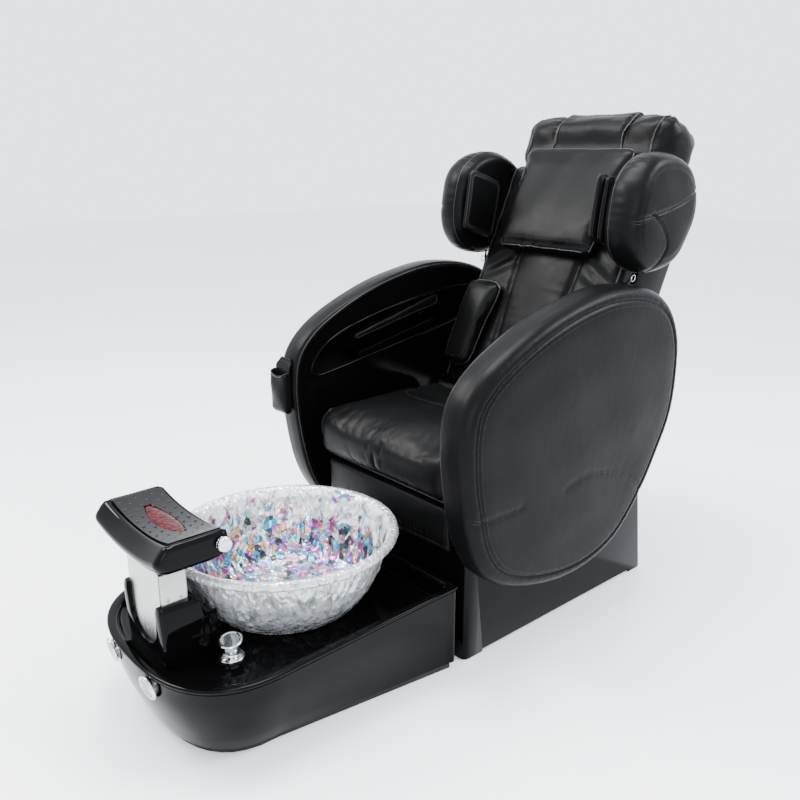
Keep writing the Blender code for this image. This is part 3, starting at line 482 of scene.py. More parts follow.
def curve_through(points, count, closed=False):
    """A smooth curve through a few points."""
    points = np.asarray(points, float)
    total = len(points)
    made = []
    spans = total if closed else total - 1
    for i in range(spans):
        if closed:
            a, b, c, d = (points[(i + k) % total] for k in (-1, 0, 1, 2))
        else:
            a, b, c, d = points[max(i - 1, 0)], points[i], points[i + 1], points[min(i + 2, total - 1)]
        for step in range(12):
            t = step / 12
            made.append(b + (c - a) * 0.5 * t + (a - b * 2.5 + c * 2 - d * 0.5) * t * t
                        + (b * 1.5 - c * 1.5 + d * 0.5 - a * 0.5) * t ** 3)
    if not closed:
        made.append(points[-1])
    return even(made, count, closed)


def near(points, line):
    """Each point's distance to a polyline, and how far along it that is."""
    best, along, start = np.full(len(points), 1e9), np.zeros(len(points)), 0.0
    for a, b in zip(line, line[1:]):
        run = b - a
        length = max(float(np.linalg.norm(run)), 1e-9)
        t = np.clip(((points - a) @ run) / length ** 2, 0, 1)
        distance = np.linalg.norm(points - a - t[:, None] * run, axis=1)
        closer = distance < best
        best[closer], along[closer] = distance[closer], start + t[closer] * length
        start += length
    return best, along


def near_loop(points, outline):
    """Each point's distance to a closed outline, and how far along it that is."""
    return near(points, np.vstack([outline, outline[:1]]))


def groove(points, line, depth=0.004, width=0.005, pucker=0.0008, reach=0.030, pitch=0.019, seed=0.0):
    """How far a sewn seam pulls the surface in, with the small folds that gather along it."""
    distance, along = near(points, np.asarray(line, float))
    wave = np.sin(along * 2 * math.pi / pitch + 2.0 * np.sin(along * 27 + seed) + 1.4 * np.sin(along * 71 + seed * 3))
    fold = pucker * np.exp(-distance / reach) * wave * (0.65 + 0.35 * np.sin(along * 13 + seed * 5))
    return -depth * np.exp(-(distance / width) ** 2) - depth * 0.45 * np.exp(-distance / (width * 3.5)) + fold


def ripple(points, size, length, seed):
    """Slow unevenness of a padded surface."""
    made = np.zeros(len(points))
    state = np.random.RandomState(seed)
    for _ in range(7):
        way = state.normal(size=3)
        way *= 2 * math.pi / (length * state.uniform(0.7, 1.6)) / np.linalg.norm(way)
        made += np.sin(points @ way + state.uniform(0, 6.28))
    return made / 7 ** 0.5 * size


def relaxed(points, faces, rounds, share=0.5):
    """Laplacian smoothing."""
    edges = set()
    for face in faces:
        for a, b in zip(face, list(face[1:]) + [face[0]]):
            edges.add((min(a, b), max(a, b)))
    edges = np.array(sorted(edges))
    degree = np.bincount(edges.reshape(-1), minlength=len(points)).astype(float)[:, None]
    for _ in range(rounds):
        total = np.zeros_like(points)
        np.add.at(total, edges[:, 0], points[edges[:, 1]])
        np.add.at(total, edges[:, 1], points[edges[:, 0]])
        points = points + (total / degree - points) * share
    return points


def soft_copy(node, voxel, rounds):
    """A node's shape as an even mesh with its edges rounded off, in the row frame."""
    helper = linked("helper", NODES[node].data.copy())
    step = helper.modifiers.new("remesh", "REMESH")
    step.mode, step.voxel_size = "VOXEL", voxel
    mesh = with_modifiers(helper)
    points = np.array([v.co for v in mesh.vertices], float)
    faces = [tuple(p.vertices) for p in mesh.polygons]
    bpy.data.objects.remove(helper)
    bpy.data.meshes.remove(mesh)
    return relaxed(points, faces, rounds), faces


def inflated(points, faces, cap, held, pressure=4.0, frames=14):
    """The padding's cover blown up by a cloth simulation. Held points stay, and the cap limits the others."""
    scene = bpy.context.scene
    mesh = raw_mesh("cover", points, faces)
    cover = linked("cover", mesh)
    group = cover.vertex_groups.new(name="held")
    group.add([int(i) for i in np.flatnonzero(held)], 1.0, "REPLACE")
    cloth = cover.modifiers.new("cloth", "CLOTH")
    settings = cloth.settings
    settings.quality, settings.mass = 4, 0.35
    settings.tension_stiffness = settings.compression_stiffness = 18.0
    settings.shear_stiffness, settings.bending_stiffness = 6.0, 0.4
    settings.shrink_min = -0.025
    settings.use_pressure, settings.uniform_pressure_force = True, pressure
    settings.vertex_group_mass = "held"
    settings.effector_weights.gravity = 0.0
    cloth.collision_settings.use_collision = False
    cloth.point_cache.frame_start, cloth.point_cache.frame_end = 1, frames
    for number in range(1, frames + 1):
        scene.frame_set(number)
    blown = cover.evaluated_get(bpy.context.evaluated_depsgraph_get()).to_mesh()
    moved = np.array([v.co for v in blown.vertices], float) - points
    scene.frame_set(1)
    bpy.data.objects.remove(cover)
    bpy.data.meshes.remove(mesh)
    length = np.maximum(np.linalg.norm(moved, axis=1, keepdims=True), 1e-9)
    return points + moved * (cap * np.tanh(length / cap) / length)


# ---- Seam trim: piping and stitches, gathered into one piece for each body -------------------
# On the backrest's bodies, surfaces, paths and points are in (x, up, out).

TRIM = {}


def tree_of(points, faces):
    return BVHTree.FromPolygons([Vector(p) for p in points], [tuple(map(int, f)) for f in faces])


def hug(tree, path, lift=0.0):
    """The path laid on the surface: (places, outward normals)."""
    places, ways = [], []
    for point in path:
        place, normal, _, _ = tree.find_nearest(Vector(point))
        places.append(place + normal * lift)
        ways.append(normal)
    return np.array(places), np.array(ways)


def add_trim(body, points, faces, look):
    placed = to_world(points) if body in BACK_BODIES else np.asarray(points, float)
    TRIM.setdefault((body, look), []).append((placed, faces))


def tube(path, radius, closed=False, sides=8):
    path = np.asarray(path, float)
    ahead = np.roll(path, -1, 0) - np.roll(path, 1, 0)
    if not closed:
        ahead[0], ahead[-1] = path[1] - path[0], path[-1] - path[-2]
    ahead /= np.maximum(np.linalg.norm(ahead, axis=1, keepdims=True), 1e-12)
    side = np.cross(ahead[0], (0.13, 0.71, 0.69))
    stack = []
    for place, way in zip(path, ahead):
        side = side - way * (side @ way)
        side /= max(np.linalg.norm(side), 1e-12)
        other = np.cross(way, side)
        stack.append([place + radius * (side * math.cos(a) + other * math.sin(a))
                      for a in (2 * math.pi * k / sides for k in range(sides))])
    return rings(stack, closed=closed)


def piping(body, tree, path, radius, lift, closed=False):
    """A welt along a path on a surface."""
    places, _ = hug(tree, path, lift)
    points, faces = tube(places, radius, closed)
    add_trim(body, points, faces, PIPING_PAINTED_HIGHLIGHT)


def stitches(body, tree, path, offset=0.0, pitch=0.0068, long=0.0046, thick=0.00055):
    """A row of stitches along a path on a surface, moved sideways by an offset."""
    path = np.asarray(path, float)
    length = float(np.linalg.norm(np.diff(path, axis=0), axis=1).sum())
    path = even(path, max(3, int(length / pitch)), closed=False)
    places, ways = hug(tree, path)
    ahead = np.gradient(places, axis=0)
    ahead /= np.maximum(np.linalg.norm(ahead, axis=1, keepdims=True), 1e-12)
    if offset:
        places, ways = hug(tree, places + np.cross(ways, ahead) * offset)
    points, faces = [], []
    for place, way, run in zip(places, ways, ahead):
        side = np.cross(way, run)
        side /= max(np.linalg.norm(side), 1e-9)
        start = len(points)
        points.append(place - run * long / 2 - way * thick * 0.5)
        for share in (-0.28, 0.28):
            for k in range(5):
                a = 2 * math.pi * k / 5
                points.append(place + run * long * share + way * thick * (0.6 + math.cos(a))
                              + side * thick * math.sin(a))
        points.append(place + run * long / 2 - way * thick * 0.5)
        for k in range(5):
            m = (k + 1) % 5
            faces += [(start, start + 1 + m, start + 1 + k),
                      (start + 1 + k, start + 1 + m, start + 6 + m, start + 6 + k),
                      (start + 11, start + 6 + k, start + 6 + m)]
    add_trim(body, points, faces, THREAD_PAINTED_HIGHLIGHT)


def finish_trim():
    """Makes each body's trim one piece."""
    for body in sorted({body for body, _ in TRIM}):
        own = [(look, parts) for (owner, look), parts in TRIM.items() if owner == body]
        points, faces = joined([part for _, parts in own for part in parts])
        index = [number for number, (_, parts) in enumerate(own) for _, part_faces in parts for _ in part_faces]
        piece("seams_" + body, points, faces, body, "black_leather", looks=[look for look, _ in own],
              face_looks=index)


# ---- Seat ------------------------------------------------------------------------------------

def seat():
    low, high, half, middle = node_corners("seat_cushion")
    points, faces = block(low, high, 0.0065, 0.046)
    points = inflated(points, faces, 0.009, points[:, 2] < low[2] + 0.012)
    facing = normals(points, faces)
    u, v, w = ((points - middle) / half).T
    rear_line = curve_through(((-0.215, high[1] - 0.03), (-0.205, -0.13), (-0.165, -0.205), (0.0, -0.215),
                               (0.165, -0.205), (0.205, -0.13), (0.215, high[1] - 0.03)), 60)
    top = np.clip(facing[:, 2], 0, 1)
    push = 0.013 * (1 - u ** 4) * (1 - v ** 2) * top
    push += 0.010 * (1 - u ** 4) * (1 - w ** 2) * np.clip(-facing[:, 1], 0, 1)
    push += 0.006 * (1 - v ** 4) * (1 - w ** 2) * np.abs(facing[:, 0])
    inner = smoothstep(-0.215, -0.16, points[:, 1]) * (1 - smoothstep(0.16, 0.21, np.abs(points[:, 0])))
    push -= 0.007 * inner * top
    push += groove(points[:, :2], rear_line, 0.0045, 0.006, 0.0011, seed=1) * top
    push += ripple(points, 0.0016, 0.16, 4) + ripple(points, 0.0007, 0.05, 5) * (0.3 + inner)
    pull = -0.010 * np.clip(-w - 0.55, 0, 1) * (np.abs(facing[:, 1]) + np.abs(facing[:, 0]))
    points = points + facing * (push + pull)[:, None]
    cushion("seat_cushion", points, faces, "seat", 0.8)
    tree = tree_of(points, faces)
    stitches("seat", tree, at_level(rear_line, high[2] + 0.01), 0.004)
    for side in (1, -1):
        x = side * (high[0] - 0.014)
        corner = curve_through(((x, low[1] + 0.012, low[2] + 0.012), (x, low[1], low[2] + 0.06),
                                (x, low[1] + 0.008, high[2] - 0.02), (x, low[1] + 0.05, high[2]),
                                (x, middle[1], high[2]), (x, high[1] - 0.05, high[2])), 90)
        piping("seat", tree, corner, 0.0016, 0.0)
        stitches("seat", tree, corner, -side * 0.005)


def splash_panel():
    low, high, half, middle = node_corners("splash_panel")
    points, faces = block(low, high, 0.005, 0.009)
    facing = normals(points, faces)
    u, w = (points[:, 0] - middle[0]) / half[0], (points[:, 2] - middle[2]) / half[2]
    front = np.clip(-facing[:, 1], 0, 1)
    points[:, 2] -= 0.010 * (0.5 + 0.5 * np.sin(u * 2.6 + 0.5)) * np.clip(-w, 0, 1)
    hem = np.array([(u * half[0], low[2] + 0.013) for u in np.linspace(-1, 1, 20)])
    push = (0.007 * (1 - u ** 4) * (1 - w ** 2) + ripple(points, 0.0022, 0.13, 9)) * front
    push += groove(points[:, [0, 2]], hem, 0.003, 0.004, 0.0010, 0.02, 0.024, 2) * front
    points = points + facing * push[:, None]
    cushion("splash_panel", points, faces, "base", 0.5)
    tree = tree_of(points, faces)
    rim = curve_through([(s * (half[0] - 0.011), low[1], z) for s, z in
                         ((-1, high[2] - 0.01), (-1, low[2] + 0.02), (-0.96, low[2] + 0.008),
                          (0, low[2] + 0.004),
                          (0.96, low[2] + 0.008), (1, low[2] + 0.02), (1, high[2] - 0.01))], 110)
    stitches("base", tree, rim, 0.0)


# ---- Backrest --------------------------------------------------------------------------------

def back_cushion():
    low, high = back_box("back_cushion")
    points, faces = block(low, high, 0.007, 0.026)
    facing = normals(points, faces)
    front = np.clip(facing[:, 2], 0, 1)
    half, middle = (high - low) / 2, (high + low) / 2
    u = (points[:, 0] - middle[0]) / half[0]
    push = 0.004 * (1 - u ** 4) * front
    seams = []
    for side, _ in SIDES:
        line = curve_through(((side * 0.095, low[1] + 0.03), (side * 0.100, 0.25), (side * 0.112, 0.45),
                              (side * 0.128, high[1] - 0.02)), 60)
        push += groove(points[:, :2], line, 0.008, 0.008, 0.0015, 0.035, 0.034, side) * front
        seams.append(line)
        slack = np.exp(-((points[:, 0] * side - 0.19) / 0.06) ** 2) * smoothstep(0.40, 0.46, points[:, 1])
        push += 0.004 * slack * np.sin(points[:, 1] * 92 + points[:, 0] * side * 55 + 1.0) * front
    band = 1 - smoothstep(0.085, 0.125, np.abs(points[:, 0]))
    push += 0.006 * band * front * (1 - (points[:, 0] / 0.12) ** 2 * band)
    push += ripple(points, 0.0018, 0.15, 21) * front
    points = points + facing * push[:, None]
    cushion("back_cushion", points, faces, "backrest", 0.7)
    tree = tree_of(points, faces)
    for line in seams:
        for offset in (-0.005, 0.005):
            stitches("backrest", tree, at_level(line, high[2]), offset)
    for side in (1, -1):
        x = side * (high[0] - 0.006)
        path = [(x, up, high[2] - 0.006) for up in np.linspace(low[1] + 0.02, high[1] - 0.01, 90)]
        piping("backrest", tree, path, 0.0026, 0.0006)


def crown():
    low, high = back_box("back_crown")
    points, faces = block(low, high, 0.0062, 0.047)
    # Low on its front the crown stays flat, where the head pillow's flap swings up past it.
    is_front = np.clip(normals(points, faces)[:, 2] * 2, 0, 1)
    swell = 1 - 0.95 * is_front * (1 - smoothstep(low[1] + 0.045, low[1] + 0.120, points[:, 1]))
    held = (points[:, 1] < low[1] + 0.008) | (points[:, 2] < low[2] + 0.010)
    blown = inflated(points, faces, 0.008, held)
    points = points + (blown - points) * swell[:, None]
    facing = normals(points, faces)
    half, middle = (high - low) / 2, (high + low) / 2
    x = points[:, 0]
    seam_x = 0.128
    end_x = half[0] - 0.034
    over = np.clip(np.abs(facing[:, 1]) + np.abs(facing[:, 2]), 0, 1)
    push = 0.010 * (1 - smoothstep(seam_x - 0.012, seam_x + 0.004, np.abs(x))) * over
    for side, _ in SIDES:
        gap = np.abs(x - side * seam_x)
        push -= 0.006 * np.exp(-(gap / 0.007) ** 2) * over
        around = np.arctan2(points[:, 1] - middle[1], points[:, 2] - middle[2]) * 0.10
        push += 0.0012 * np.exp(-gap / 0.035) * np.sin(around * 330 + 2 * np.sin(around * 60)) * over
        end_gap = np.abs(x - side * end_x)
        push -= 0.0035 * np.exp(-(end_gap / 0.006) ** 2)
        corner = np.linalg.norm(points - np.array((side * end_x, high[1] - 0.012, high[2] - 0.05)), axis=1)
        fan = np.sin(np.arctan2(points[:, 2], x * side) * 60 + around * 90)
        push += 0.0045 * np.exp(-corner / 0.030) * fan
        middle_of = side * (seam_x + end_x) / 2
        push += 0.007 * np.exp(-((x - middle_of) / 0.045) ** 2) * over
    push += 0.004 * (1 - ((points[:, 2] - middle[2]) / half[2]) ** 2) * np.abs(facing[:, 0])
    push += ripple(points, 0.0016, 0.12, 31)
    points = points + facing * (np.clip(push, -0.012, 0.016) * swell)[:, None]
    cushion("back_crown", points, faces, "backrest", 0.8)
    tree = tree_of(points, faces)
    for side, _ in SIDES:
        for place, radius in ((seam_x, 0.0030), (end_x, 0.0022)):
            over_top = ((low[1] + 0.004, high[2] + 0.02), (middle[1], high[2] + 0.02),
                        (high[1] + 0.02, high[2] - 0.03), (high[1] + 0.02, middle[2]), (high[1], low[2]),
                        (middle[1], low[2] - 0.02))
            path = curve_through([(side * place, up, out) for up, out in over_top], 120)
            piping("backrest", tree, path, radius, 0.0008)
            stitches("backrest", tree, path, 0.006)


def head_pillow():
    low, high = back_box("head_pillow")
    tall = high[1] - low[1]
    plain_half, plain_thick = 0.172, 0.05
    points, faces = block((-plain_half, 0, 0), (plain_half, tall, plain_thick), 0.0055, 0.0235)
    facing = normals(points, faces)
    u, v, w = points[:, 0] / plain_half, points[:, 1] / tall, points[:, 2] / plain_thick

    def half_width(v):
        return high[0] - 0.019 + 0.028 * v

    thick = 0.052 - 0.022 * smoothstep(0.10, 1.0, v)
    made = np.stack([u * half_width(v), low[1] + points[:, 1], low[2] + 0.001 + w * thick], axis=1)
    blown = inflated(made, faces, 0.006, made[:, 2] < low[2] + 0.008)
    made = made + (blown - made) * (1 - 0.9 * smoothstep(0.82, 0.95, v))[:, None]
    front = np.clip(facing[:, 2], 0, 1)
    hem = np.array([(s, low[1] + 0.020) for s in np.linspace(-0.2, 0.2, 24)])
    push = 0.004 * (1 - u ** 4) * (1 - (2 * v - 1) ** 4) * front + ripple(made, 0.0011, 0.14, 41) * front
    push += groove(made[:, :2], hem, 0.0035, 0.0045, 0.0010, 0.020, 0.020, 3) * front
    made = made + facing * push[:, None]
    cushion("head_pillow", made, faces, "head_pillow", 0.7)
    tree = tree_of(made, faces)
    rim = [(s * half_width(t), low[1] + t * tall, low[2] + 0.022 + 0.018 * (1 - t)) for s, t in
           ((-1, 0.02), (-1, 0.5), (-1, 0.94), (-0.94, 1.0), (0, 1.0), (0.94, 1.0), (1, 0.94), (1, 0.5),
            (1, 0.02))]
    piping("head_pillow", tree, curve_through(rim, 170), 0.0021, 0.0006)
    stitches("head_pillow", tree, [(x, low[1] + 0.020, high[2] + 0.02) for x in np.linspace(-0.150, 0.150, 40)], 0.003)
    bottom = [(x, low[1] + 0.004, low[2] + 0.050) for x in np.linspace(-0.150, 0.150, 60)]
    piping("head_pillow", tree, bottom, 0.0022, 0.0006)


def lumbar_pads():
    for side, word in SIDES:
        node = "lumbar_pad_" + word
        low, high = back_box(node)
        flat = np.abs(to_back(node_points(node))[:, :2])
        outer, tall = flat[:, 0].max(), high[1] - low[1]
        inner_low, inner_high = (flat[np.abs(flat[:, 1] - end) < 0.02, 0].min() for end in (low[1], high[1]))
        wide, thick = 0.120, high[2] - low[2] - 0.004
        grid, faces = block((0, 0, 0), (wide, tall, thick), 0.0058, 0.0195)
        if side < 0:
            faces = faces[:, ::-1]
        u, v = grid[:, 0] / wide, grid[:, 1] / tall
        # The corners are drawn in round, on top of the block's own edges.
        corner = np.clip(np.abs(2 * u - 1) ** 3 * np.abs(2 * v - 1) ** 8, 0, 1)
        inner = inner_low + (inner_high - inner_low) * v
        across = inner + (outer - inner) * (0.5 + (u - 0.5) * (1 - 0.18 * corner))
        upward = low[1] + tall * (0.5 + (v - 0.5) * (1 - 0.10 * corner))
        points = np.column_stack([side * across, upward, low[2] + 0.0005 + grid[:, 2]])
        points = inflated(points, faces, 0.007, points[:, 2] < low[2] + 0.006)
        facing = normals(points, faces)
        front = np.clip(facing[:, 2], 0, 1)
        edge = outline_of(points[:, :2], 150, 5)
        edge_distance, along = near_loop(points[:, :2], edge)
        push = 0.008 * (1 - np.abs(2 * u - 1) ** 3) * (1 - np.abs(2 * v - 1) ** 4) * front
        push += 0.0008 * np.exp(-edge_distance / 0.012) * np.sin(along * 230 + 3 * np.sin(along * 41))
        push += ripple(points, 0.0010, 0.09, 51) * front
        points = points + facing * push[:, None]
        cushion(node, points, faces, "backrest", 0.8)
        tree = tree_of(points, faces)
        piping("backrest", tree, at_level(edge, low[2] + thick * 0.62), 0.0026, 0.0006, closed=True)
        stitches("backrest", tree, at_level(inset(edge, 0.014), high[2] + 0.02))


def slab(outline, profile, side):
    """Skins an upright outline into a padded slab on one side of the chair's middle.

    The profile gives (inward, across) pairs, from the inner face's middle, round the edge, to the outer face's.
    Across is a distance from the chair's middle. Inward is a distance from the outline, or from 1 to 2 the way
    to the centre: 1 at the rim, 2 at the centre.
    """
    centre = outline.mean(0)
    deepest = max(amount for amount, _ in profile if amount < 0.9)
    stack = []
    for amount, across in profile:
        if amount < 0.9:
            flat = inset(outline, amount)
        else:
            flat = centre + (inset(outline, deepest) - centre) * (2 - amount)
        stack.append(at_side(flat, side * across))
    return rings(stack)


def wings():
    for side, word in SIDES:
        node = "wing_" + word
        local = to_back(node_points(node))
        outline = outline_of(local[:, 1:], 230, 14)
        x_low, x_high = np.abs(local[:, 0]).min(), np.abs(local[:, 0]).max()
        thick = x_high - x_low
        reach = 0.040
        profile = [(1 + t, x_low + 0.001) for t in np.linspace(0.999, 0.0, 12)]
        for a in np.linspace(-90, 90, 30):
            share = math.sin(math.radians(a))
            depth = reach * (1 - max(math.cos(math.radians(a)), 0.0) ** 0.75)
            profile.append((depth, x_low + 0.001 + (thick - 0.012) * (share + 1) / 2))
        profile += [(1 + t, x_high - 0.010) for t in np.linspace(0.0, 0.999, 44)[1:]]

        points, faces = slab(outline, profile, side)
        centre = outline.mean(0)
        ends_low, ends_high = outline.min(0), outline.max(0)
        span = ends_high - ends_low
        facing = normals(points, faces)
        if (facing[:, 0] * (points[:, 0] - side * (x_low + x_high) / 2)).sum() < 0:
            facing = -facing
        outer = np.clip(facing[:, 0] * side, 0, 1)
        flat = points[:, 1:]

        def at(a, b):
            return ends_low + span * np.array((a, b))

        across_line = curve_through((at(0.24, 1.00), at(0.33, 0.84), at(0.41, 0.70)), 50)
        up_line = curve_through((at(0.41, 0.70), at(0.60, 0.42), at(0.76, 0.22), at(0.90, 0.10)), 60)
        low_line = curve_through((at(0.41, 0.70), at(0.37, 0.50), at(0.26, 0.36), at(0.03, 0.42)), 60)
        lines = (across_line, up_line, low_line)
        away = np.linalg.norm((flat - centre) / span, axis=1) * 2
        push = 0.011 * np.clip(1 - away ** 2, 0, 1) * outer
        for index, line in enumerate(lines):
            push += groove(flat, line, 0.0030, 0.005, 0.0004, 0.012, 0.017, index + side) * outer
        edge_distance, along = near_loop(flat, outline)
        gather = np.sin(along * 190 + 3 * np.sin(along * 37)) * (1 - outer * 0.8)
        push += 0.0005 * np.exp(-edge_distance / 0.015) * gather
        push += ripple(points, 0.0016, 0.11, 61)
        points = points + facing * push[:, None]
        cushion(node, points, faces, "backrest", 0.8)
        tree = tree_of(points, faces)
        for line in lines:
            for offset in (-0.004, 0.004) if line is across_line else (0.0035,):
                stitches("backrest", tree, at_side(line, side * (x_high + 0.02)), offset)
        rim = at_side(inset(outline, 0.012), side * (x_low + 0.030))
        piping("backrest", tree, rim, 0.0018, 0.0, closed=True)
        wing_airbags(side, word)


def wing_airbags(side, word):
    node = "wing_airbag_" + word
    local = to_back(node_points(node))
    outline = outline_of(local[:, 1:], 140, 10)
    outline = outline.mean(0) + (outline - outline.mean(0)) * np.array((1.06, 1.22)) + np.array((0.0, 0.010))
    near_x, far_x = np.abs(local[:, 0]).min(), np.abs(local[:, 0]).max()
    layer = (far_x - near_x) / 2
    layers = []
    for k in range(2):
        start = near_x + k * layer
        shift = np.array((0.0, 0.016 * (1 - k) - 0.008))
        flat_line = outline + shift
        profile = [(1 + t, start + 0.0015) for t in np.linspace(0.999, 0, 8)]
        for a in np.linspace(-90, 90, 13):
            profile.append((0.007 * (1 - max(math.cos(math.radians(a)), 0)), start + 0.0015
                            + (layer - 0.003) * (math.sin(math.radians(a)) + 1) / 2))
        profile += [(1 + t, start + layer - 0.0015) for t in np.linspace(0, 0.999, 8)]
        points, faces = slab(flat_line, profile, side)
        away = np.linalg.norm((points[:, 1:] - flat_line.mean(0)) / np.ptp(flat_line, axis=0), axis=1) * 2
        # The front of each layer stands away from the one behind, as the bags do when they are slack.
        lean = smoothstep(local[:, 2].min(), local[:, 2].max(), points[:, 2])
        swell = 0.004 * np.clip(1 - away ** 2, 0, 1) * (points[:, 0] * side < start + layer / 2)
        points[:, 0] -= side * (swell + 0.002 * lean * (1 - k))
        tree = tree_of(points, faces)
        piping("backrest", tree, at_side(inset(flat_line, 0.002), side * start), 0.0016, 0.0004, closed=True)
        layers.append((points, faces))
    cushion(node, *joined(layers), "backrest", 0.3)


# ---- Arms ------------------------------------------------------------------------------------

def arms():
    for side, word in SIDES:
        node = "arm_shell_" + word
        local = node_points(node)
        outline = outline_of(local[:, 1:], 320, 10)
        x_low, x_high = np.abs(local[:, 0]).min(), np.abs(local[:, 0]).max()
        wall, depth = 0.018, x_high - 0.026
        seam = 0.030
        profile = [(1 + t, depth) for t in np.linspace(0.999, 0.0, 5)]
        profile += [(wall + 0.001, depth), (wall, x_low + 0.012), (wall, x_low + 0.003),
                    (wall - 0.002, x_low + 0.0006)]
        for a in np.linspace(90, 0, 7):
            cos, sin = math.cos(math.radians(a)), math.sin(math.radians(a))
            profile.append((0.014 * (1 - cos), x_low + 0.014 * (1 - sin)))
        body = x_high - x_low
        for a in np.linspace(0, 1, 9)[1:-1]:
            profile.append((-0.0015 * math.sin(math.pi * a), x_low + 0.014 + (body - 0.056) * a))
        for a in np.linspace(0, 90, 16):
            cos, sin = math.cos(math.radians(a)), math.sin(math.radians(a))
            profile.append((seam * (1 - cos), x_high - 0.042 + 0.036 * sin))
        # The double-stitched seam: a narrow valley just inside the rounded edge, then the panel's own swell.
        for extra, rise in ((0.002, -0.0008), (0.004, -0.0032), (0.006, -0.0034), (0.008, -0.0010),
                            (0.011, 0.0010),
                            (0.016, 0.0024), (0.024, 0.0034), (0.036, 0.0042), (0.052, 0.0048)):
            profile.append((seam + extra, x_high - 0.006 + rise))
        profile += [(1 + t, x_high - 0.0012 + 0.0012 * min(1.0, t * 3)) for t in np.linspace(0, 0.999, 40)[1:]]

        points, faces = slab(outline, profile, side)
        facing = normals(points, faces)
        if (facing[:, 0] * (points[:, 0] - side * (x_low + x_high) / 2))[len(points) // 2:].sum() < 0:
            facing = -facing
        outer = np.clip(facing[:, 0] * side, 0, 1) * (points[:, 0] * side > x_low + 0.04)
        flat = points[:, 1:]
        ends_low, ends_high = outline.min(0), outline.max(0)
        span = ends_high - ends_low

        def at(a, b):
            return ends_low + span * np.array((a, b))

        arch = curve_through((at(0.42, 0.36), at(0.52, 0.38), at(0.64, 0.355), at(0.76, 0.285),
                              at(0.835, 0.215)), 60)
        foot = curve_through((at(0.015, 0.345), at(0.10, 0.352), at(0.22, 0.350)), 30)
        push = groove(flat, foot, 0.002, 0.007, 0.0010, 0.020, 0.020, side) * outer
        push += groove(flat, arch, 0.0015, 0.009, 0.0003, 0.020, 0.030, side) * outer
        push += ripple(points, 0.0011, 0.22, 71) * (points[:, 0] * side > x_low + 0.002)
        edge_distance, along = near_loop(flat, outline)
        gather = np.sin(along * 210 + 2 * np.sin(along * 31)) * outer
        push += 0.0004 * np.exp(-np.abs(edge_distance - seam) / 0.018) * gather
        points = points + facing * push[:, None]
        cushion(node, points, faces, "base", 0.5)
        tree = tree_of(points, faces)
        far = side * (x_high + 0.03)
        for offset in (-0.0055, 0.0055):
            stitches("base", tree, at_side(inset(outline, seam + 0.005), far), offset, thick=0.0007)
        for line, offsets in ((foot, (-0.005, 0.005)), (arch, (0.0,))):
            for offset in offsets:
                stitches("base", tree, at_side(line, far), offset)
        inner = at_side(inset(outline, 0.007), side * (x_low - 0.002))
        piping("base", tree, inner, 0.0019, 0.0002, closed=True)
        arm_inside(side, word, x_low)


def arm_inside(side, word, x_low):
    """The recess's rolled rim, its padded flap and the small catch on the ledge."""
    liner = node_points("arm_liner_" + word)
    deep = liner[np.abs(liner[:, 0]) > x_low + 0.050]
    rim = outline_of(deep[:, 1:], 200, 10)
    rim = inset(rim, 0.003)
    points, faces = tube(at_side(rim, side * (x_low + 0.0030)), 0.0042, True, 12)
    piece("arm_recess_rim_" + word, points, faces, "base", "gloss_black_shell")
    node = "arm_airbag_" + word
    points, faces = soft_copy(node, 0.0030, 6)
    facing = normals(points, faces)
    points = points + facing * (ripple(points, 0.0012, 0.09, 81) + 0.0008)[:, None]
    low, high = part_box(node)
    points[:, 0] = np.clip(points[:, 0], low.x, high.x)
    cushion(node, points, faces, "base", 0.4)
    tree = tree_of(points, faces)
    edge = outline_of(node_points(node)[:, 1:], 120, 2)
    piping("base", tree, at_side(inset(edge, 0.001), side * (x_low + 0.006)), 0.0013, 0.0002, closed=True)
    near_x, far_x = sorted((side * (x_low + 0.020), side * (x_low + 0.048)))
    catch, faces = block((near_x, high.y - 0.060, high.z - 0.072), (far_x, high.y - 0.020, high.z - 0.052),
                         0.003, 0.007)
    piece("arm_catch_" + word, catch, faces, "base", "gloss_black_shell")


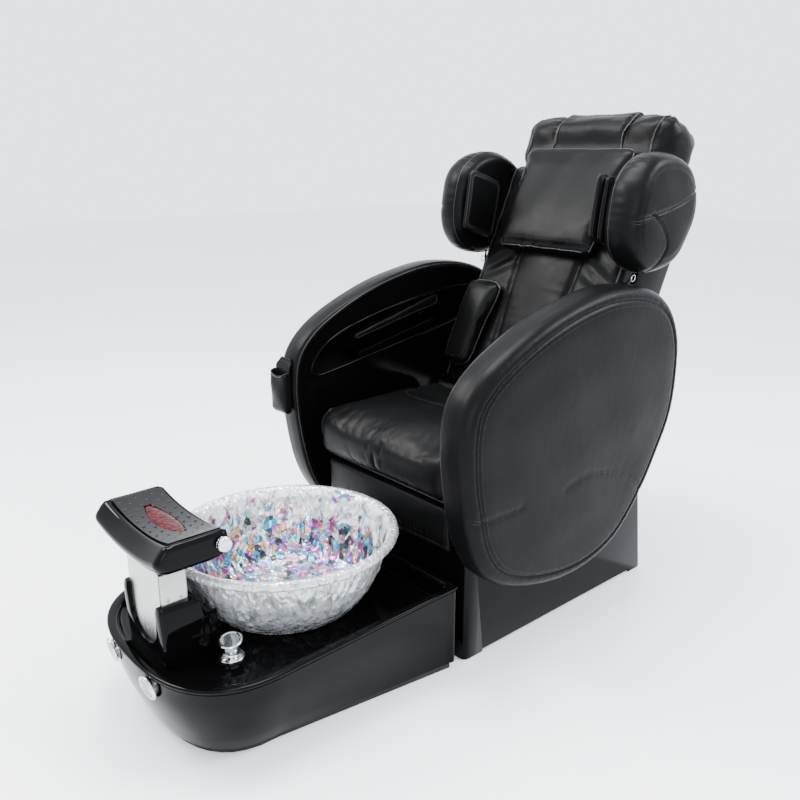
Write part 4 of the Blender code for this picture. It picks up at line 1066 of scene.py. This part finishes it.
def remote_pocket():
    low, high, half, middle = node_corners("remote_pocket")

    def ring(z, grow, dip=0.0, bulge=0.0):
        angle = round_angles(72)
        x = np.sign(np.cos(angle)) * np.abs(np.cos(angle)) ** 0.35 * (half[0] + grow)
        y = np.sign(np.sin(angle)) * np.abs(np.sin(angle)) ** 0.35 * (half[1] + grow)
        front = np.clip(-y / half[1], 0, 1)
        y = y - bulge * front * (1 - (x / half[0]) ** 2)
        return np.column_stack([middle[0] + x, middle[1] + y, z - dip * front * (1 - (x / half[0]) ** 2 * 0.6)])

    stack = []
    for share in np.linspace(0, 1, 26):
        z = low[2] + (high[2] - low[2]) * share
        stack.append(ring(z, -0.007 * (1 - min(1.0, share * 9)) ** 2 - 0.0005, 0.016 * share ** 3,
                          0.006 * math.sin(math.pi * share * 0.9)))
    for share in np.linspace(1, 0.06, 16):
        z = low[2] + (high[2] - low[2]) * share
        stack.append(ring(z, -0.0035, 0.016 * share ** 3, 0.006 * math.sin(math.pi * share * 0.9)))
    points, faces = rings(stack)
    points[:, 1] = np.minimum(points[:, 1], high[1])
    points = points + normals(points, faces) * ripple(points, 0.0008, 0.05, 91)[:, None]
    points[:, 1] = np.minimum(points[:, 1], high[1])
    cushion("remote_pocket", points, faces, "base", 0.2)
    tree = tree_of(points, faces)
    lip = curve_through([(middle[0] + s * half[0] * 0.97, low[1] + (0.004 if abs(s) > 0.9 else -0.004),
                          high[2] - 0.002 - 0.015 * (1 - s * s)) for s in (-1, -0.6, 0, 0.6, 1)], 40)
    piping("base", tree, lip, 0.0016, 0.0006)
    stitches("base", tree, lip - np.array((0, 0, 0.008)))
    tongue, faces = block((low[0] + 0.003, high[1] - 0.0060, low[2] + 0.004),
                          (high[0] - 0.003, high[1] - 0.0005, high[2] + 0.034), 0.004, 0.0028)
    top = smoothstep(high[2] + 0.006, high[2] + 0.034, tongue[:, 2])
    tongue[:, 0] = middle[0] + (tongue[:, 0] - middle[0]) * (1 - 0.30 * top ** 2)
    tongue[:, 1] += 0.012 * top
    piece("remote_pocket_back", tongue, faces, "base", "black_leather")
    tree = tree_of(tongue, faces)
    edge = curve_through([(middle[0] + s * half[0] * w, high[1] - 0.006, z) for s, w, z in
                          ((-1, 0.86, high[2] - 0.01), (-1, 0.80, high[2] + 0.018),
                           (-0.5, 0.8, high[2] + 0.029),
                           (0.5, 0.8, high[2] + 0.029), (1, 0.80, high[2] + 0.018),
                           (1, 0.86, high[2] - 0.01))], 50)
    stitches("base", tree, edge)


# ---- Foot tub --------------------------------------------------------------------------------

class Tub:
    """The tub's plan at any height, from the sizes of its skirt and deck."""
    skirt_low, skirt_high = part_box("tub_skirt")
    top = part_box("tub_deck")[1].z
    half, rear, nose = 0.300, skirt_high.y, skirt_low.y
    # Where the round nose starts, how much the foot is drawn in, and how square the nose is.
    shoulder, flare, power = -0.930, 0.056, 2.6
    fall = 0.028
    corner = 0.012

    @classmethod
    def rim(cls, y):
        """The rim's height, which falls from the rear to the nose."""
        return cls.top - cls.fall * (cls.rear - y) / (cls.rear - cls.nose)

    @classmethod
    def ring(cls, height, narrow, inward, side_steps=26, nose_steps=60):
        rear_half = cls.half - inward
        half = cls.half - 0.006 - cls.flare * narrow - inward
        nose = cls.nose + cls.flare * 0.9 * narrow + inward
        rear = cls.rear - inward
        right = [((rear_half - cls.corner) * i / 16, rear) for i in range(17)]
        right += [(rear_half - cls.corner + cls.corner * math.sin(a),
                   rear - cls.corner + cls.corner * math.cos(a))
                  for a in np.linspace(0.2, 1.57, 7)]
        for i in range(1, side_steps):
            t = i / side_steps
            right.append((rear_half + (half - rear_half) * t, rear + (cls.shoulder - rear) * t))
        for i in range(nose_steps + 1):
            angle = math.pi / 2 * i / nose_steps
            reach = max(0.0, math.cos(angle)) ** (2 / cls.power) if i < nose_steps else 0.0
            ahead = (cls.shoulder - nose) * math.sin(angle) ** (2 / cls.power)
            right.append((half * reach, cls.shoulder - ahead))
        loop = right + [(-x, y) for x, y in right[-2:0:-1]]
        return np.array([(x, y, height(y) if callable(height) else height) for x, y in loop])


def tub():
    deck_top, foot, wall_tall = 0.196, 0.022, 0.1915
    flare = curve_through(((foot, 1.0), (0.060, 0.68), (0.110, 0.36), (0.160, 0.13),
                           (foot + wall_tall, 0.0)), 80)

    def narrow_at(z):
        return float(np.interp(z, flare[:, 0], flare[:, 1]))

    stack = []
    for inward, order in ((0.0, 1), (0.006, -1)):
        wall = []
        for k in range(33):
            share = k / 32

            def height(y, share=share):
                return foot + (Tub.rim(y) - 0.013 - foot) * share
            wall.append(Tub.ring(height, narrow_at(foot + wall_tall * share), inward))
        stack += wall[::order]
    points, faces = rings(stack, closed=True)
    skirt = piece("tub_skirt_look", points, faces, "base", "gloss_black_shell", ("tub_skirt",))
    holes = [button_place(word) for _, word in SIDES]
    drilled(skirt, [(place, way, outer - 0.0066, 0.030) for place, way, _, outer in holes])

    def below(drop):
        return lambda y: Tub.rim(y) - drop

    lip = [(deck_top - 0.004, 0.026), (below(0.0115), 0.012), (below(0.0105), 0.001), (below(0.0100), -0.0015)]
    lip += [(below(0.0050 - 0.0050 * math.sin(a)), 0.002 - 0.005 * math.cos(a))
            for a in np.linspace(-1.2, 1.57, 9)]
    lip += [(below(drop), inward) for drop, inward in
            ((0.0001, 0.006), (0.0003, 0.012), (0.0012, 0.0165), (0.0040, 0.0200), (0.0090, 0.0225))]
    lip += [(lambda y, t=t: Tub.rim(y) - 0.009 - (Tub.rim(y) - 0.009 - deck_top) * t,
             0.0225 + 0.0075 * t ** 1.5)
            for t in np.linspace(0.15, 1, 8)]
    lip += [(deck_top, 0.036), (deck_top, 0.060), (deck_top, 0.110)]
    stack = [Tub.ring(height, 0, inward) for height, inward in lip]
    points, faces = rings(stack)
    piece("tub_deck_look", points, faces, "base", "gloss_black_shell", ("tub_deck",))


def cell_height(place, scale):
    """How high a hammered surface stands here, 0 in a joint between two dents and 1 at a peak."""
    distances, _ = noise.voronoi(Vector(place) * scale)
    return min(1.0, (distances[1] - distances[0]) * 1.6)


def foot_bowl():
    low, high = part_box("foot_bowl")
    centre = (low + high) / 2
    half_x, half_y, tall = (high.x - low.x) / 2, (high.y - low.y) / 2, high.z - low.z
    outer = ((0.60, 0.0), (0.635, 0.015), (0.66, 0.05), (0.715, 0.14), (0.80, 0.33), (0.868, 0.60),
             (0.893, 0.80),
             (0.898, 0.862), (0.915, 0.876), (0.955, 0.872), (0.983, 0.885), (0.997, 0.912), (1.0, 0.945),
             (0.992, 0.978),
             (0.975, 0.997), (0.955, 1.0), (0.935, 0.990), (0.918, 0.968))
    inner = ((0.900, 0.925), (0.885, 0.86), (0.862, 0.72), (0.825, 0.52), (0.755, 0.27), (0.700, 0.15),
             (0.640, 0.085), (0.55, 0.058),
             (0.30, 0.052), (0.14, 0.050))
    outer = curve_through(outer, 78)
    inner = curve_through(inner, 66)
    stack, inside = [], []
    count = 330
    angle = round_angles(count)
    for index, (share, rise) in enumerate(list(outer) + list(inner)):
        shrink = 0.001 if index >= len(outer) else 0.0
        stack.append(np.column_stack([centre.x + (half_x * share - shrink) * np.cos(angle),
                                      centre.y + (half_y * share - shrink) * np.sin(angle),
                                      np.full(count, low.z + tall * rise)]))
        inside.append(index >= len(outer) - 2)
    points, faces = rings(stack, caps=False)
    points = np.vstack([points, (centre.x, centre.y, low.z), (centre.x, centre.y, low.z + tall * 0.050)])
    bottom, top = len(points) - 2, len(points) - 1
    first_in = (len(stack) - 1) * count
    looks = [1 if inside[k] else 0 for k in range(len(stack) - 1) for _ in range(count)]
    faces += [(bottom, (i + 1) % count, i) for i in range(count)]
    faces += [(top, first_in + i, first_in + (i + 1) % count) for i in range(count)]
    looks += [0] * count + [1] * count
    facing = normals(points, faces)
    drawn = points * np.array((1.0, 1.0, 0.55))
    height = np.array([cell_height(p, 34.0) * 0.0030 + cell_height(p + 0.37, 80.0) * 0.0009 for p in drawn])
    share = (points[:, 2] - low.z) / tall
    calm = smoothstep(0.0, 0.06, share) * (1 - 0.70 * smoothstep(0.83, 0.88, share))
    points = points + facing * ((height - 0.0024) * calm)[:, None]
    piece("foot_bowl_look", points, faces, "base", "clear_resin", ("foot_bowl",), looks=(BOWL_OUT, BOWL_IN),
          face_looks=looks)


def lathe_piece(node, profile, place, direction, body, count=72, ribs=None, look=None):
    """A turned chrome piece in its node's place."""
    points, faces = turned(profile, place, direction, count, ribs)
    piece(node + "_look", points, faces, body, "chrome", (node,), sharp=38, looks=(look,) if look else None)


def rounded_profile(*corners):
    """(radius, height) pairs with a small fillet at each inner corner."""
    made = [corners[0]]
    for before, here, after in zip(corners, corners[1:], corners[2:]):
        here, before, after = map(Vector, (here, before, after))
        reach = min((here - before).length, (after - here).length, 0.0024) * 0.45
        start, end = here + (before - here).normalized() * reach, here + (after - here).normalized() * reach
        for step in range(5):
            t = step / 4
            made.append(tuple(start.lerp(here, t).lerp(here.lerp(end, t), t)))
    made.append(corners[-1])
    return made


def mixer():
    place = Vector(JOINTS["mixer_turn"]["pos_m"])
    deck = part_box("tub_deck")[0].z + 0.0043
    foot = deck - place.z
    base = rounded_profile((0.0001, foot - 0.060), (0.012, foot - 0.060), (0.012, foot), (0.031, foot),
                           (0.031, foot + 0.0028),
                           (0.026, foot + 0.0060), (0.0185, foot + 0.0078), (0.0168, foot + 0.012),
                           (0.0168, -0.002), (0.0001, -0.002))
    lathe_piece("mixer_base", base, place, (0, 0, 1), "base")
    cap = rounded_profile((0.0001, 0.0), (0.0172, 0.0), (0.0182, 0.005), (0.0225, 0.015), (0.0270, 0.0255),
                          (0.0283, 0.0292),
                          (0.0265, 0.0318), (0.0225, 0.0325), (0.0210, 0.0305), (0.0001, 0.0300))
    points, faces = turned(cap, place, (0, 0, 1), 72)
    local = points - np.array(place)
    lever_way = np.array((math.sin(math.radians(145)), math.cos(math.radians(145))))
    # The cap's top is cut on a slant, lowest over the lever.
    slant = local[:, :2] @ lever_way
    points[:, 2] -= 0.16 * (slant + 0.028) * smoothstep(0.010, 0.030, local[:, 2])
    stack = []
    side_way = np.array((-lever_way[1], lever_way[0]))
    for t in np.linspace(0, 1, 16):
        reach = 0.010 + 0.040 * t
        wide = 0.0062 + 0.0022 * math.sin(math.pi * t * 0.5) - 0.006 * max(0.0, t - 0.9) * 8
        thick = 0.0030 - 0.0010 * t - 0.0012 * max(0.0, t - 0.9) * 8
        level = 0.010 - 0.0065 * t
        ring = []
        for a in round_angles(20):
            flat = lever_way * reach + side_way * wide * math.cos(a)
            ring.append((place.x + flat[0], place.y + flat[1], place.z + level + thick * math.sin(a)))
        stack.append(ring)
    points, faces = joined([(points, faces), rings(stack)])
    piece("mixer_handle_look", points, faces, "mixer_handle", "chrome", ("mixer_handle",), sharp=38)


def button_place(word):
    """Where a button's face is, which way it faces, and the radii of it and its bezel."""
    cap, bezel = node_points("air_button_" + word), node_points("button_bezel_" + word)
    way = -Vector(JOINTS["button_press_" + word]["axis"]).normalized()
    middle, flat = cap.mean(0), np.array(way)
    heights = (cap - middle) @ flat
    radius = float(np.linalg.norm(cap - middle - np.outer(heights, flat), axis=1).max())
    outer = float(np.linalg.norm(bezel - middle - np.outer((bezel - middle) @ flat, flat), axis=1).max())
    return Vector(middle) + way * float(heights.max()), way, radius, outer


def buttons():
    for _, word in SIDES:
        place, way, radius, outer = button_place(word)
        top = rounded_profile((0.0001, -0.0155), (radius, -0.0155), (radius, -0.0022),
                              (radius - 0.0018, 0.0), (radius - 0.0048, 0.0),
                              (radius - 0.0056, -0.0018), (radius - 0.0072, -0.0018),
                              (radius - 0.0080, -0.0002), (radius - 0.0105, -0.0002),
                              (radius - 0.0113, -0.0018), (0.0058, -0.0018), (0.0050, -0.0006),
                              (0.0001, 0.0002))
        lathe_piece("air_button_" + word, top, place, way, "air_button_" + word, look=STEEL)
        bore, tail = radius + 0.0006, outer - 0.007
        ring = rounded_profile((bore, -0.021), (tail, -0.021), (tail, -0.0080), (outer, -0.0080),
                               (outer, -0.0050), (outer - 0.0030, -0.0012),
                               (outer - 0.0056, -0.0008), (outer - 0.0064, -0.0030),
                               (outer - 0.0082, -0.0030), (outer - 0.0090, -0.0014),
                               (bore + 0.0006, -0.0040))
        turn = np.array(Vector((0, 0, 1)).rotation_difference(way).to_matrix())
        angle = round_angles(72)
        stack = [np.array(place) + at_level(np.stack([r * np.cos(angle), r * np.sin(angle)], axis=1),
                                            h) @ turn.T
                 for r, h in ring]
        points, faces = rings(stack, closed=True)
        piece("button_bezel_%s_look" % word, points, faces, "base", "chrome", ("button_bezel_" + word,),
              sharp=38)


def drilled(made, holes):
    """Cuts round holes, as (place, way, radius, depth), through a piece."""
    cutters = []
    for place, way, radius, depth in holes:
        points, faces = turned([(radius, -depth), (radius, depth)], place, way, 48)
        cutter = linked("cutter", outward_mesh("cutter", points, faces))
        step = made.modifiers.new("hole", "BOOLEAN")
        step.object, step.solver = cutter, "EXACT"
        cutters.append(cutter)
    mesh = with_modifiers(made)
    made.modifiers.clear()
    look = made.data.materials[0]
    made.data = mesh
    mesh.materials.clear()
    mesh.materials.append(look)
    mesh.polygons.foreach_set("material_index", np.zeros(len(mesh.polygons), np.int32))
    shaded(mesh, 40)
    for cutter in cutters:
        bpy.data.objects.remove(cutter)


def bevelled(node, width, slot, body, segments=3, angle=32):
    """A node's shape with its edges softened, shown in its place."""
    made = linked(node + "_look", NODES[node].data.copy())
    made.data.materials.clear()
    made.data.materials.append(LOOKS[slot])
    weld = made.modifiers.new("weld", "WELD")
    weld.merge_threshold = 0.00002
    step = made.modifiers.new("edges", "BEVEL")
    step.width, step.segments = width, segments
    step.limit_method, step.angle_limit = "ANGLE", math.radians(angle)
    step.harden_normals = False
    mesh = with_modifiers(made)
    made.modifiers.clear()
    made.data = mesh
    shaded(mesh, 40)
    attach(made, body)
    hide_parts(node)


def screw(place, way, radius=0.0045):
    profile = [(radius * math.cos(a), 0.0022 * math.sin(a)) for a in np.linspace(0, math.pi / 2, 7)]
    profile = [(radius, -0.001)] + profile[:-1] + [(0.0004, 0.0022)]
    points, faces = turned(profile, place, way, 28)
    add_trim("base", points, faces, STEEL)


def pedestal():
    bevelled("pedestal_shroud", 0.0030, "gloss_black_shell", "base")
    bevelled("column", 0.0008, "brushed_stainless", "base", 2)
    low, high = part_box("column")
    shroud_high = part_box("pedestal_shroud")[1]
    screw((0, low.y, shroud_high.z - 0.088), (0, -1, 0))
    for side in (1, -1):
        for y in (low.y + 0.016, low.y + 0.046):
            screw((side * high.x, y, shroud_high.z + 0.012), (side, 0, 0))
    # The column's face plate: a rounded tongue that reaches down into the notch, over the folded sides.
    half = high.x - 0.004
    outline = [(-half, high.z - 0.010), (-half, shroud_high.z - 0.052)]
    outline += [(-half * math.cos(a), shroud_high.z - 0.052 - 0.052 * math.sin(a))
                for a in np.linspace(0, math.pi, 26)]
    outline += [(half, high.z - 0.010)]
    outline = even(np.array(outline), 150)
    stack = []
    for depth, away in ((0.0, -0.0003), (0.0, -0.0010), (0.0006, -0.0016), (0.004, -0.0016)):
        flat = inset(outline, depth)
        stack.append(np.column_stack([flat[:, 0], np.full(len(flat), low.y + away), flat[:, 1]]))
    points, faces = rings(stack)
    piece("column_face_plate", points, faces, "base", "brushed_stainless", sharp=40)
    # A small access hatch with an upright bar in each side of the shroud, laid on its slope.
    shell = NODES["pedestal_shroud"].data
    tree = tree_of([v.co for v in shell.vertices], [p.vertices for p in shell.polygons])
    for side in (1, -1):
        y, z = shroud_high.y - 0.036, shroud_high.z - 0.075
        for word, half_y, half_z, thick in (("plate", 0.022, 0.026, 0.0022), ("bar", 0.006, 0.018, 0.0065)):
            points, faces = block((0, y - half_y, z - half_z), (thick, y + half_y, z + half_z), 0.003,
                                  thick * 0.45)
            for point in points:
                place = tree.ray_cast(Vector((side * 0.4, point[1], point[2])), Vector((-side, 0, 0)))[0]
                point[0] = (place.x if place else side * high.x) + side * (point[0] - 0.0004)
            piece("hatch_%s_%s" % (word, "left" if side > 0 else "right"), points, faces, "base",
                  "gloss_black_shell")


# ---- Footrest --------------------------------------------------------------------------------

def footrest():
    low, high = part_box("footrest_shell")
    half = high.x
    front, rear = low.y, high.y
    pad_low, pad_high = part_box("footrest_pad")
    bottom, thick, rise = low.z, 0.064, high.z - low.z - 0.064
    count_x, ring_count = 84, 96

    def lift(x):
        return rise * np.abs(np.clip(x / half, -1, 1)) ** 2.2

    def section(x):
        under = bottom + lift(x)
        top = bottom + thick + lift(x)
        corners = ((front + 0.020, under + 0.003), (front + 0.040, under), ((front + rear) / 2, under),
                   (rear - 0.032, under),
                   (rear - 0.010, under + 0.010), (rear - 0.001, under + 0.030),
                   (rear - 0.004, top - 0.006), (rear - 0.016, top - 0.0005),
                   ((front + rear) / 2, top - 0.001), (front + 0.044, top - 0.001),
                   (front + 0.020, top - 0.006),
                   (front + 0.001, top - 0.030), (front + 0.005, under + 0.016))
        return curve_through(corners, ring_count, True)

    stack = []
    for i in range(count_x + 1):
        share = -math.cos(math.pi * i / count_x)
        share = math.copysign(abs(share) ** 0.85, share)
        x = share * half
        ring = section(x)
        centre = ring.mean(0)
        end = max(0.0, (abs(x) - (half - 0.020)) / 0.020)
        squeeze = math.sqrt(max(0.0, 1 - end ** 2.4)) * 0.42 + 0.58 if end < 1 else 0.58
        flat = centre + (ring - centre) * np.array((1 - (1 - squeeze) * 0.35, squeeze))
        stack.append(np.column_stack([np.full(len(flat), x), flat[:, 0], flat[:, 1]]))
    points, faces = rings(stack)
    facing = normals(points, faces)
    if facing[np.argmax(points[:, 2]), 2] < 0:
        facing = -facing
    pad_half = pad_high.x
    inside_x = 1 - smoothstep(pad_half - 0.002, pad_half + 0.005, np.abs(points[:, 0]))
    inside_y = (smoothstep(pad_low.y - 0.005, pad_low.y + 0.002, points[:, 1])
                * (1 - smoothstep(pad_high.y - 0.002, pad_high.y + 0.004, points[:, 1])))
    up = points[:, 2] > bottom + lift(points[:, 0]) + thick * 0.6
    sink = inside_x * inside_y * up
    brim = np.exp(-((np.abs(points[:, 0]) - pad_half - 0.009) / 0.008) ** 2) * inside_y
    brim += np.exp(-((points[:, 1] - pad_low.y + 0.012) / 0.010) ** 2) * (np.abs(points[:, 0]) < half)
    points[:, 2] -= 0.0065 * sink
    points[:, 2] += 0.0032 * np.clip(brim, 0, 1) * up * (1 - sink)
    piece("footrest_shell_look", points, faces, "footrest", "gloss_black_shell", ("footrest_shell",))

    # The pad's top, with its grid of small studs, and the red lens with its own facets.
    def top_at(x):
        return bottom + thick + lift(x)

    studs = []
    state = np.random.RandomState(7)
    for i in range(9):
        for j in range(6):
            x = (i - 4) * pad_half * 0.225 + (0.5 if j % 2 else 0.0) * pad_half * 0.225
            y = pad_low.y + (pad_high.y - pad_low.y) * (j + 0.5) / 6
            if abs(x) > pad_half - 0.010:
                continue
            radius = 0.0030 + 0.0006 * state.uniform()
            profile = [(radius * 1.25, -0.0008)]
            profile += [(radius * math.cos(a) + 0.00005, 0.0024 * math.sin(a) + 0.0003)
                        for a in np.linspace(0.0, 1.55, 6)]
            studs.append(turned(profile, (x, y, top_at(x) + 0.001), (0, 0, 1), 16))
    piece("footrest_studs", *joined(studs), "footrest", "black_plastic")
    lens_low, lens_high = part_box("footrest_inlay")
    reach, centre_y = lens_high.x, (lens_low.y + lens_high.y) / 2
    deep = (lens_high.y - lens_low.y) / 2
    stack = []
    for share in np.linspace(1.0, 0.04, 14):
        angle = round_angles(120)
        x = reach * share * np.cos(angle)
        y = centre_y + deep * share * np.sin(angle) * np.sqrt(np.clip(1 - 0.35 * np.cos(angle) ** 2, 0, 1))
        z = top_at(x) + 0.0003 + 0.0034 * (1 - share ** 3)
        stack.append(np.column_stack([x, y, z]))
    skirt = stack[0].copy()
    skirt[:, 2] -= 0.0020
    points, faces = rings([skirt] + stack)
    points[:, 2] += np.array([cell_height(p, 75.0) * 0.0003 for p in points])
    piece("footrest_inlay_look", points, faces, "footrest", "red_lens", ("footrest_inlay",))


def tilt_knob():
    low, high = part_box("tilt_knob")
    place = Vector((low.x, (low.y + high.y) / 2, (low.z + high.z) / 2))
    radius, long = (high.y - low.y) / 2, high.x - low.x
    profile = rounded_profile((0.0001, 0.0), (radius * 0.5, 0.0), (radius * 0.5, 0.003),
                              (radius * 0.92, 0.0036), (radius, 0.0060),
                              (radius, long - 0.005), (radius * 0.86, long - 0.0015),
                              (radius * 0.55, long - 0.0005), (radius * 0.50, long - 0.0020),
                              (0.0001, long - 0.0020))

    def ribs(angle, height):
        grip = 0.0012 if 0.0045 < height < long - 0.0035 else 0.0
        return -grip * (0.5 + 0.5 * np.cos(angle * 18))

    lathe_piece("tilt_knob", profile, place, (1, 0, 0), "tilt_knob", 144, ribs)


# ---- What stays, and the small hardware --------------------------------------------------------

def other_nodes():
    bevelled("base_skirt", 0.0035, "gloss_black_shell", "base")
    bevelled("back_shell", 0.0080, "gloss_black_shell", "backrest", 4)
    bevelled("service_panel", 0.0012, "black_plastic", "base", 2)
    slots = {row["node"]: row["material_slot"] for row in frame["record"]["subparts"]}
    for name, node in NODES.items():
        if node.hide_render:
            continue
        look = LOOKS[slots[name]]
        if name == "footrest_pad":
            look = TEXTURED
        elif name.startswith("arm_liner"):
            look = SATIN
        node.data.materials.clear()
        node.data.materials.append(look)
    # A strap and its ring tie each wing to the back.
    for side, word in SIDES:
        low, high = back_box("wing_" + word)
        x = high[0] - 0.113 if side > 0 else low[0] + 0.113
        start = np.array((x + side * 0.016, low[1] + 0.012, low[2] + (high[2] - low[2]) * 0.28))
        path = curve_through((start + (0, 0.018, 0.004), start, start + (-side * 0.010, -0.026, -0.002),
                              start + (-side * 0.022, -0.030, -0.006)), 24)
        add_trim("backrest", *tube(path, 0.0032), LEATHER)
        angle = round_angles(40)
        ring = start + np.column_stack([side * 0.006 + 0.001 * np.cos(angle), -0.012 + 0.009 * np.cos(angle),
                                        0.008 * np.sin(angle)])
        add_trim("backrest", *tube(ring, 0.0014, True), CHROME)


# ---- Stage -----------------------------------------------------------------------------------

def area_light(name, place, aim, size, power, colour=(1.0, 1.0, 1.0)):
    data = bpy.data.lights.new(name, "AREA")
    data.shape, data.size, data.size_y = "RECTANGLE", size[0], size[1]
    data.energy, data.color = power, colour
    lamp = linked(name, data)
    lamp.location = place
    lamp.rotation_euler = (Vector(aim) - Vector(place)).to_track_quat("-Z", "Y").to_euler()


def stage():
    mesh = bpy.data.meshes.new("floor")
    far = 14.0
    mesh.from_pydata([(-far, -far, 0), (far, -far, 0), (far, far, 0), (-far, far, 0)], [], [(0, 1, 2, 3)])
    floor = linked("floor", mesh)
    floor.location.z = -0.0004
    n = Nodes("look_floor")
    n.set(Base_Color=n.ramp(n.noise(0.6, 2.0), ((0.3, (0.88, 0.89, 0.91)), (0.7, (0.92, 0.93, 0.94)))),
          Roughness=0.34)
    mesh.materials.append(n.material)
    world = bpy.data.worlds.new("studio")
    world.use_nodes = True
    background = world.node_tree.nodes["Background"]
    background.inputs["Color"].default_value = (0.86, 0.90, 0.97, 1.0)
    background.inputs["Strength"].default_value = 3.0
    bpy.context.scene.world = world
    area_light("key", (-2.2, -2.2, 3.4), (0, -0.3, 0.5), (1.8, 1.1), 260, (1.0, 0.99, 0.97))
    area_light("rim", (2.4, 2.0, 3.0), (0, 0.1, 0.8), (1.6, 0.9), 200, (0.96, 0.98, 1.0))
    area_light("fill", (2.8, -2.6, 1.6), (0, -0.3, 0.5), (1.4, 1.4), 60)
    area_light("top", (-0.2, -0.4, 3.2), (0, -0.3, 0.3), (0.9, 1.5), 170)


def camera():
    data = bpy.data.cameras.new("camera")
    data.sensor_width, data.lens = 36.0, 37.10
    data.clip_start, data.clip_end = 0.05, 60
    made = linked("camera", data)
    made.location = (1.603, -1.752, 1.288)
    made.rotation_euler = (math.radians(90 - 16.917), 0, math.radians(49.226))
    bpy.context.scene.camera = made


def build():
    camera()
    stage()
    seat()
    splash_panel()
    back_cushion()
    crown()
    head_pillow()
    lumbar_pads()
    wings()
    arms()
    remote_pocket()
    tub()
    foot_bowl()
    mixer()
    buttons()
    pedestal()
    footrest()
    tilt_knob()
    other_nodes()
    finish_trim()


build()
